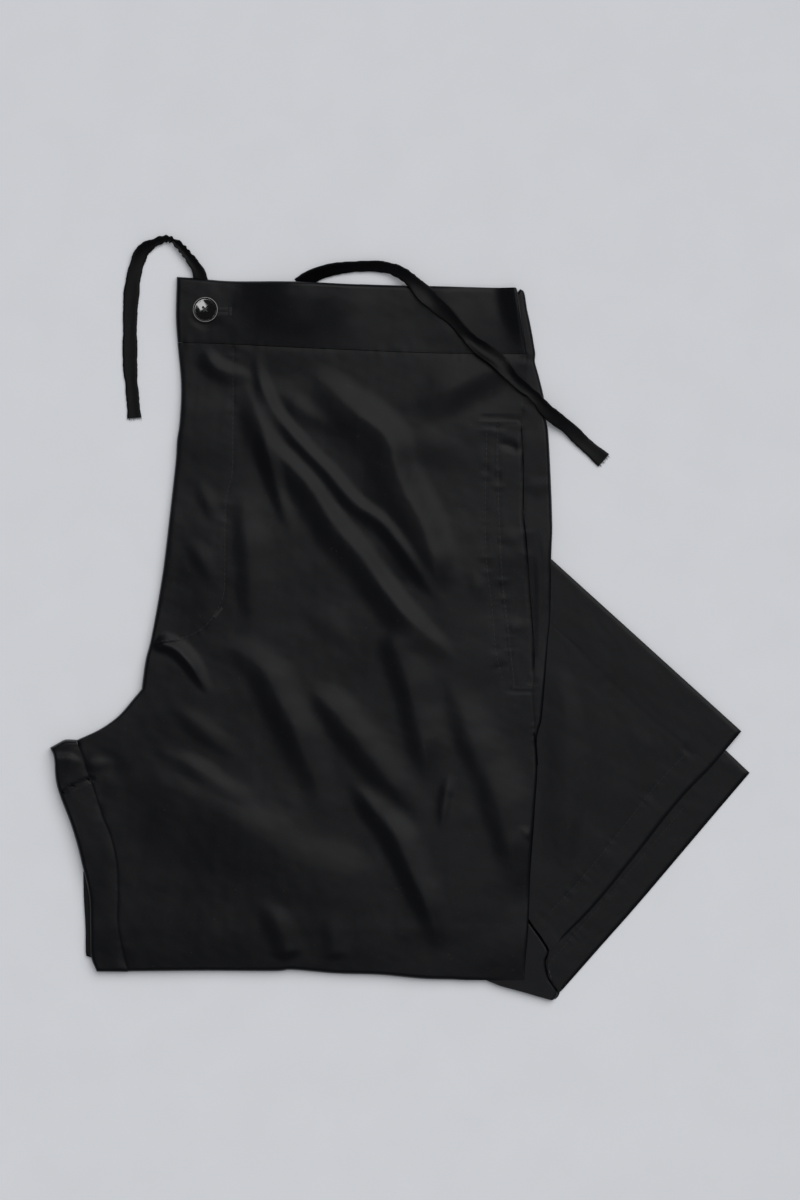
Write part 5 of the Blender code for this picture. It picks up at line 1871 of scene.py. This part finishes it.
    def build_turn(self, cloth: bpy.types.Material) -> bpy.types.Object:
        """The corner where both legs turn under the front.

        Args:
            cloth: its finish.

        Returns:
            The corner.
        """
        rows = np.linspace(0, 1, 70)
        outer = spaced(TURN_OUTER, rows, 2) + np.array([self.shelf, 0])
        columns = 1 - np.linspace(1, 0, 30) ** self.turn_crowding
        grid = side_patch(spaced(TURN_INNER, rows, 2), outer, columns)
        distance = np.linalg.norm(grid - grid[:, -1:], axis=2)
        rise = np.clip((distance - self.shelf + 0.2) / self.turn_roll, 0, 1)
        heights = self.turn_rim + (LEG_TURN_TOP - self.turn_rim) * np.sqrt(rise * (2 - rise))
        heights += 0.5 * self.height(grid[..., 0], grid[..., 1]) * rise
        return plied_pad("leg_turn_cloth", grid, heights, 0.0, 3, 0.4, cloth)

    def build(self, cloth: bpy.types.Material, sewer: Sewer) -> None:
        """Args:
            cloth: their finish.
            sewer: sets the stitches.
        """
        turn = [(x + self.turn_gap, y) for x, y in TURN_OUTER]
        turn[0] = (turn[0][0], TURN_INNER[0][1] + 0.5)
        hem_left, hem_right = self.hem_row(LEFT_LEG_HEM), self.hem_row(RIGHT_LEG_HEM)
        seam = [(x + 0.05, y + 0.06) for x, y in LEFT_LEG_SEAM]
        puckers = [Pucker(seam, 0.14, 3.6, 6.0), Pucker(hem_left, 0.16, 4.0, 7.5)]
        left, strip = self.build_left(turn, puckers, cloth)
        right = self.build_right(turn, hem_right, cloth)
        turned = self.build_turn(cloth)
        for row, under in ((hem_left, LEFT_LEG_BASE), (hem_right[1:], 0.0)):
            sewer.row(spaced(row, np.linspace(0.03, 0.95, 12)), Sewing.EDGE,
                      lambda x, y, base=under: base + LEG_PLIES + 0.1 + self.height(x, y))
        sewing = sewer.finish("hem_sewing")
        for piece, node, cut, area in (
                (left, "left_leg_lower", self.left_cut, self.left_area),
                (strip, "left_leg_strip", self.strip_cut, self.strip_area),
                (right, "right_leg_lower", self.right_cut, self.right_area),
                (turned, "leg_turn", self.turn_cut, self.turn_area)):
            declare(piece, Slot.CLOTH, node)
            LOG.info("%s: %d faces", piece.name, len(piece.data.polygons))


@dataclass
class HiddenLayers:
    """Everything under the front: one pad with a layered edge and a flat underside."""

    plies: int = 4
    cut: Point = (0.300, 0.424)
    area: float = 0.100
    top: tuple[Point, ...] = (
        (-133.0, 217.4), (-105.0, 215.0), (-72.0, 214.6), (-30.8, 213.0), (67.5, 208.6))
    bottom: tuple[Point, ...] = (
        (-181.4, -200.8), (-123.0, -200.6), (-66.0, -200.0), (-12.0, -203.0), (35.0, -205.8),
        (47.5, -206.2))
    crotch: tuple[Point, ...] = (
        (-153.4, -30.0), (-160.0, -39.5), (-168.4, -49.5), (-178.0, -58.2), (-187.0, -66.0),
        (-199.5, -73.5), (-207.4, -79.0))
    ledge_width: float = 6.2
    step_y: float = 78.0
    corner_inset: float = 2.5
    right_corner: Point = (56.0, -201.5)

    def left_border(self, lower_y: np.ndarray, in_ledge: np.ndarray) -> np.ndarray:
        """Border at the centre front, the crotch curve and the inseam.

        Args:
            lower_y: rows below the crotch curve.
            in_ledge: whether each of them lies on the ledge of the inseam.

        Returns:
            Plan points from the waist down.
        """
        upper_y = np.concatenate([[214.2, 211.5, 208.0], np.linspace(202, 79.2, 40), [77.6],
                                  np.linspace(62, -22, 26)])
        upper_x = x_at(BAND_LEFT[:2] + CENTRE_FRONT, upper_y) + CORE_INSET
        lower_x = np.where(in_ledge, x_at(LEDGE_OUTER, lower_y), x_at(INSEAM_OUTER, lower_y) + CORE_INSET)
        border = np.vstack([np.column_stack([upper_x, upper_y]), self.crotch,
                            np.column_stack([lower_x, lower_y])])
        border[-2, 0] += self.corner_inset
        border[0], border[-1] = self.top[0], self.bottom[0]
        return border

    def right_border(self, y: np.ndarray) -> np.ndarray:
        """Border at the side, which steps in where the legs lie.

        Args:
            y: its rows.

        Returns:
            Plan points from the waist down.
        """
        side_x = x_at(BACK_BAND_OUTER + SIDE_OUTER[1:], y) - CORE_INSET - 3.0 * smoothstep(190, 208, y)
        border = np.column_stack([np.where(y > self.step_y, side_x, CORE_RIGHT_X), y])
        border[0], border[-2], border[-1] = self.top[-1], self.right_corner, self.bottom[-1]
        return border

    def build(self, cloth: bpy.types.Material) -> None:
        """Args:
            cloth: its finish.
        """
        lower_y = np.concatenate([np.linspace(-84, -139.5, 18), np.linspace(-143.5, -195.0, 20),
                                  [-198.5, -201.3]])
        in_ledge = (lower_y < -141) & (lower_y > -197)
        left = self.left_border(lower_y, in_ledge)
        upper_count = len(left) - len(lower_y)
        ledge = np.concatenate([np.zeros(upper_count), np.where(in_ledge, self.ledge_width, 0.0)])
        shares = rim_shares(205.0, 4.0, (True, True))
        right = self.right_border(left[:, 1])
        grid = patch(spaced(self.top, shares), spaced(self.bottom, shares), left, right)
        heights = SURFACE.pile(grid[..., 0], grid[..., 1]) - CORE_GAP
        for border, flat in ((grid[:, :1], ledge[:, None]), (grid[:, -1:], 0.0), (grid[:1], 0.0),
                             (grid[-1:], 0.0)):
            share = np.clip(1 - (np.linalg.norm(grid - border, axis=2) - flat) / ROLL_WIDTH, 0, 1)
            heights = np.minimum(heights, CORE_RIM + (heights - CORE_RIM) * np.sqrt(1 - share * share))
        pad = plied_pad("hidden_cloth", grid, heights, 0.0, self.plies, 0.7, cloth)
        declare(pad, Slot.CLOTH, "hidden_layers")
        LOG.info("hidden layers: %d faces", len(pad.data.polygons))


@dataclass
class WaistButton:
    """Turned button with a raised rim, four holes and a cross of thread."""

    at: Point = BUTTON_AT
    base: float = 6.15
    sides: int = 72
    hole_radius: float = 0.8
    hole_offset: float = 1.35
    thread_top: float = 2.28
    thread_width: float = 0.42
    thread_shift: float = 0.28
    profile: tuple[Point, ...] = (
        # radius, height
        (5.4, 0.0), (6.6, 0.2), (7.3, 0.7), (7.68, 1.3), (7.7, 1.8), (7.6, 2.12), (7.4, 2.3),
        (7.2, 2.3), (7.03, 2.17), (6.9, 1.98), (6.75, 1.88), (6.5, 1.87), (6.0, 1.892), (5.4, 1.916),
        (4.9, 1.934), (4.3, 1.954), (3.6, 1.974), (2.8, 1.992), (2.0, 2.006), (1.0, 2.016))

    def hole_at(self, across: int, up: int) -> Point:
        """Middle of the hole on one side across and one side up."""
        return self.at[0] + across * self.hole_offset, self.at[1] + up * self.hole_offset

    def build(self, resin: bpy.types.Material, sewer: Sewer) -> None:
        """Args:
            resin: the button's finish.
            sewer: sets the stitches.
        """
        turns = np.arange(self.sides) * 2 * math.pi / self.sides
        circle = np.column_stack([np.cos(turns), np.sin(turns)])
        rows = [np.column_stack([circle * radius, np.full(self.sides, height)])
                for radius, height in self.profile]
        columns = np.arange(self.sides)
        faces = tube_faces(len(rows), self.sides).tolist()
        faces += [columns[::-1].tolist(), ((len(rows) - 1) * self.sides + columns).tolist()]
        place = np.array([*self.at, self.base])
        button = add_mesh("button_disc", np.vstack(rows) + place, faces, resin, 35.0)
        for across in (-1, 1):
            for up in (-1, 1):
                self.cut_hole(button, *self.hole_at(across, up))
        declare(button, Slot.BUTTON, "button")
        top = self.base + self.thread_top
        for up in (-1, 1):
            (x0, y0), (x1, y1) = self.hole_at(-1, up), self.hole_at(1, -up)
            for shift in (-self.thread_shift, 0.0, self.thread_shift):
                start, end = np.array([x0 + shift, y0, top]), np.array([x1 + shift, y1, top])
                sewer.stitch(start, end, self.thread_width)
        sewer.finish("button_thread")
        LOG.info("button: %d faces", len(button.data.polygons))

    def cut_hole(self, button: bpy.types.Object, x: float, y: float) -> None:
        """Cut one round hole through the button.

        Args:
            button: to cut.
            x: of the hole's middle.
            y: of the hole's middle.
        """
        bpy.ops.mesh.primitive_cylinder_add(
            vertices=20, radius=self.hole_radius * MM, depth=8 * MM,
            location=(x * MM, y * MM, self.base * MM))
        cutter = bpy.context.object
        cut = button.modifiers.new("hole", "BOOLEAN")
        cut.operation, cut.solver, cut.object = "DIFFERENCE", "EXACT", cutter
        bpy.context.view_layer.objects.active = button
        bpy.ops.object.modifier_apply(modifier=cut.name)
        bpy.data.objects.remove(cutter, do_unlink=True)


@dataclass
class Tie:
    """A flat tie of folded cloth with a raw, slightly frayed end."""

    name: str
    node: str
    route: list[tuple[float, float, float, float]]
    rings: int
    seed: int
    narrow: list[Point]
    curl: list[Point]
    width: float = 9.0
    thick: float = 1.2
    frays: int = 16
    ragged: float = 0.22

    def section(self) -> np.ndarray:
        """Outline across the tie: flat, with round doubled edges and a shallow middle.

        Returns:
            Points round the section: across and up.
        """
        half, round_edge = self.width / 2, self.thick / 2
        flat = np.linspace(-half + round_edge, half - round_edge, 9)
        dip = -0.16 * np.cos(flat / half * math.pi / 2) ** 2
        top = np.column_stack([flat, round_edge + dip])
        turn = np.linspace(math.pi / 2, -math.pi / 2, 5)[1:-1]
        right = np.column_stack([half - round_edge + round_edge * np.cos(turn), round_edge * np.sin(turn)])
        bottom = np.column_stack([flat[::-1], -round_edge - dip[::-1] * 0.5])
        return np.vstack([top, right, bottom, -right])

    def build(self, cloth: bpy.types.Material, floor: float = 0.12) -> None:
        """Args:
            cloth: its finish.
            floor: lowest height that the tie may reach.
        """
        shares = np.linspace(0, 1, self.rings)
        line = spaced(self.route, shares)
        centres, turns = line[:, :3], np.radians(line[:, 3])
        run = np.gradient(centres, axis=0)
        run = run / np.linalg.norm(run, axis=1, keepdims=True)
        level = np.cross(run, (0, 0, 1))
        level = level / np.linalg.norm(level, axis=1, keepdims=True)
        up = np.cross(level, run)
        across = level * np.cos(turns)[:, None] + up * np.sin(turns)[:, None]
        out = np.cross(across, run)
        out = out * np.sign(out[:, 2:])
        section = self.section()
        chance = np.random.default_rng(self.seed)
        waver = 1 + 0.05 * np.sin(shares * 31 + self.seed) + 0.03 * np.sin(shares * 77)
        narrow = np.interp(shares, *zip(*self.narrow))
        waver *= narrow
        waver += self.ragged * np.clip(1 - narrow, 0, 1) * np.sin(shares * 170 + 2 * np.sin(shares * 47))
        waver += 0.04 * np.clip(np.sin(shares * 210 + 3 * np.sin(shares * 60)), 0, 1)
        curl = np.interp(shares, *zip(*self.curl))[:, None] * (np.abs(section[:, 0]) / self.width * 2) ** 2
        rows = centres[:, None] + across[:, None] * (section[:, 0] * waver[:, None])[..., None] \
            + out[:, None] * (section[:, 1] + curl)[..., None]
        rows[..., 2] = np.maximum(rows[..., 2], floor)
        count, around = rows.shape[:2]
        columns = np.arange(around)
        faces = np.roll(tube_faces(count, around)[:, ::-1], 1, axis=1).tolist()
        faces += [columns.tolist(), ((count - 1) * around + columns[::-1]).tolist()]
        points, faces = self.fray(rows.reshape(-1, 3), faces, centres[-1], across[-1], run[-1], chance)
        tie = add_mesh(self.name, points, faces, cloth)
        rework(tie, lambda work: bmesh.ops.recalc_face_normals(work, faces=work.faces))
        declare(tie, Slot.TIE, self.node)
        length = float(np.linalg.norm(np.diff(centres, axis=0), axis=1).sum()) * MM
        LOG.info("%s: %.0f mm long", self.name, length / MM)

    def fray(self, points: np.ndarray, faces: list, end: np.ndarray, across: np.ndarray, run: np.ndarray,
             chance: np.random.Generator) -> tuple[np.ndarray, list]:
        """Add short loose threads at the raw end.

        Args:
            points: of the tie.
            faces: rows of point indices.
            end: middle of the end.
            across: unit vector across the tie.
            run: unit vector along it.
            chance: draws their sizes.

        Returns:
            The points and the faces with the threads.
        """
        made = [points]
        first = len(points)
        for place in np.linspace(-0.46, 0.46, self.frays):
            root = end + across * place * self.width - run * 0.3
            tip = root + run * chance.uniform(0.9, 2.4) + across * chance.uniform(-0.7, 0.7)
            wide = across * 0.11
            high = np.array([0, 0, 0.12])
            made.append(np.array([root - wide, root + wide, root + high,
                                  tip - wide * 0.6, tip + wide * 0.6, tip + high * 0.6]))
            for a, b, c, d in ((0, 1, 4, 3), (1, 2, 5, 4), (2, 0, 3, 5)):
                faces.append([first + a, first + b, first + c, first + d])
            faces += [[first, first + 2, first + 1], [first + 3, first + 4, first + 5]]
            first += 6
        return np.vstack(made), faces


TIE_LEFT_ROUTE = [
    # x, y, z, turn
    (-121.6, 218.0, 2.0, 2), (-122.9, 222.5, 2.6, 4), (-123.9, 225.6, 2.9, 6), (-126.4, 229.8, 3.1, 8),
    (-131.7, 236.9, 3.2, 12), (-137.1, 242.9, 3.0, 22), (-142.8, 245.6, 2.8, 32),
    (-149.3, 243.8, 2.6, 34), (-157.6, 238.6, 2.2, 24), (-161.2, 231.1, 1.6, 12),
    (-163.6, 222.5, 1.2, 4), (-165.0, 212.6, 0.9, 0), (-165.9, 198.1, 0.8, 0), (-166.0, 177.0, 0.8, 0),
    (-165.8, 165.0, 0.8, 0), (-164.6, 151.0, 0.8, 0), (-163.3, 135.4, 0.8, 0),
]
TIE_RIGHT_ROUTE = [
    # x, y, z, turn
    (-62.0, 216.5, 2.6, -24), (-53.5, 222.4, 3.2, -32), (-44.3, 225.8, 3.5, -36), (-33.9, 227.6, 3.6, -38),
    (-22.8, 228.4, 3.6, -38), (-12.4, 228.2, 3.9, -34), (-3.2, 226.0, 4.9, -24),
    (5.4, 220.7, 6.6, -14), (15.3, 210.6, 8.0, 4), (25.1, 201.9, 8.1, -12), (31.9, 195.7, 8.1, -16),
    (40.5, 185.9, 8.1, -14), (50.3, 176.6, 8.0, 6), (60.2, 169.3, 7.9, 12), (70.6, 158.2, 7.6, -12),
    (82.3, 148.4, 7.3, -10), (89.7, 139.8, 6.5, -12), (96.5, 134.2, 4.8, -10), (103.9, 128.7, 2.8, -8),
    (113.0, 119.9, 1.2, 2), (125.2, 109.3, 0.8, 0),
]
TIE_LEFT_NARROW = [
    # share of the length, width beside the flat tie's
    (0.0, 0.85), (0.05, 0.9), (0.1, 0.64), (0.14, 0.6), (0.19, 0.44), (0.23, 0.4), (0.27, 0.52),
    (0.33, 0.72), (0.39, 0.9), (0.46, 1.0), (0.7, 1.0), (1.0, 0.86),
]
TIE_RIGHT_NARROW = [
    # share of the length, width beside the flat tie's
    (0.0, 1.1), (0.1, 0.95), (0.2, 0.8), (0.28, 0.85), (0.36, 1.2), (0.44, 1.0), (0.5, 0.8),
    (0.57, 0.95), (0.64, 1.1), (0.72, 0.85), (0.78, 0.7), (0.84, 0.9), (1.0, 1.05),
]
TIE_LEFT_CURL = [(0.0, 0.0), (0.1, 0.5), (0.22, 1.0), (0.32, 0.4), (0.45, 0.0), (1.0, 0.0)]
TIE_RIGHT_CURL = [
    # share of the length, height by which the edges curl up
    (0.0, 0.0), (0.3, 0.3), (0.37, 1.1), (0.44, 0.3), (0.5, 0.2), (0.55, 1.9), (0.6, 2.1),
    (0.66, 0.8), (0.72, 1.2), (0.78, 0.8), (0.86, 0.1), (1.0, 0.0),
]


@dataclass
class Studio:
    """Floor, light and the camera straight above."""

    view_middle: Point = (0.0, 23.5)
    view_height: float = 738.0
    camera_height: float = 1800.0
    sensor: float = 36.0
    key_from: Triple = (0.42, 0.65, 1.06)
    key_power: float = 2.2
    key_size: float = 58.0
    sky: float = 0.28
    sky_colour: Triple = (0.95, 0.97, 1.0)
    floor_reach: float = 6000.0

    def camera(self) -> None:
        """Set the camera over the garment, looking straight down."""
        data = bpy.data.cameras.new("camera")
        data.sensor_width = self.sensor
        data.lens = self.sensor * self.camera_height / self.view_height
        data.clip_end = 20.0
        made = bpy.data.objects.new("camera", data)
        made.location = (self.view_middle[0] * MM, self.view_middle[1] * MM, self.camera_height * MM)
        bpy.context.scene.collection.objects.link(made)
        bpy.context.scene.camera = made

    def sun(self, name: str, come_from: Triple, power: float, size: float) -> None:
        """A far soft light.

        Args:
            name: of the light.
            come_from: direction towards it.
            power: of the light.
            size: angle in degrees.
        """
        data = bpy.data.lights.new(name, "SUN")
        data.energy = power
        data.angle = math.radians(size)
        made = bpy.data.objects.new(name, data)
        made.rotation_euler = Vector(come_from).to_track_quat("Z", "Y").to_euler()
        bpy.context.scene.collection.objects.link(made)

    def panel(self, name: str, at: Triple, size: Point, power: float) -> None:
        """A soft panel of light that faces the garment.

        Args:
            name: of the light.
            at: its place in metres.
            size: its sides in metres.
            power: in watts.
        """
        data = bpy.data.lights.new(name, "AREA")
        data.shape, data.size, data.size_y, data.energy = "RECTANGLE", size[0], size[1], power
        made = bpy.data.objects.new(name, data)
        made.location = at
        made.rotation_euler = Vector(at).to_track_quat("Z", "Y").to_euler()
        bpy.context.scene.collection.objects.link(made)

    def floor(self, material: bpy.types.Material) -> None:
        """A wide pale floor.

        Args:
            material: its finish.
        """
        reach = self.floor_reach
        points = [(-reach, -reach, 0), (reach, -reach, 0), (reach, reach, 0), (-reach, reach, 0)]
        add_mesh("floor", np.array(points), [[0, 1, 2, 3]], material)

    def lights(self) -> None:
        """Set the soft light: a sky, a key from the waist's side, a window and a fill."""
        world = bpy.data.worlds.new("studio")
        world.use_nodes = True
        sky = world.node_tree.nodes["Background"].inputs
        sky["Color"].default_value = (*self.sky_colour, 1.0)
        sky["Strength"].default_value = self.sky
        bpy.context.scene.world = world
        bpy.context.scene.view_settings.view_transform = "Standard"
        self.sun("key", self.key_from, self.key_power, self.key_size)
        self.panel("window", (-0.284, 0.432, 1.65), (0.12, 0.12), 1.15)
        self.panel("fill", (0.08, -0.42, 1.7), (0.5, 0.5), 1.8)


def main() -> None:
    """Build every piece in order and report it."""
    logging.basicConfig(level=logging.INFO, format="%(message)s")
    studio = Studio()
    studio.camera()
    groups = Groups()
    cloth = ClothFinish("black_satin_cloth", (0.0012, 0.0014, 0.0022)).material(groups)
    tie_cloth = ClothFinish("black_tie_cloth", (0.0014, 0.0015, 0.0020), specular=0.080).material(groups)
    thread = ThreadFinish().material(groups)
    sewer = Sewer(thread)
    for tie in (
            Tie("tie_left_cloth", "tie_left", TIE_LEFT_ROUTE, 150, 2, TIE_LEFT_NARROW, TIE_LEFT_CURL),
            Tie("tie_right_cloth", "tie_right", TIE_RIGHT_ROUTE, 190, 7, TIE_RIGHT_NARROW,
                TIE_RIGHT_CURL)):
        tie.build(tie_cloth)
    HiddenLayers().build(cloth)
    LowerLegs().build(cloth, sewer)
    BackPieces().build(cloth, sewer)
    FrontPanel().build(cloth, sewer)
    Waistband().build(cloth, sewer)
    button_thread = ThreadFinish("button_thread", (0.035, 0.035, 0.037)).material(groups)
    WaistButton().build(ButtonFinish().material(groups), Sewer(button_thread))
    studio.floor(FloorFinish().material(groups))
    studio.lights()


if __name__ == "__main__":
    main()
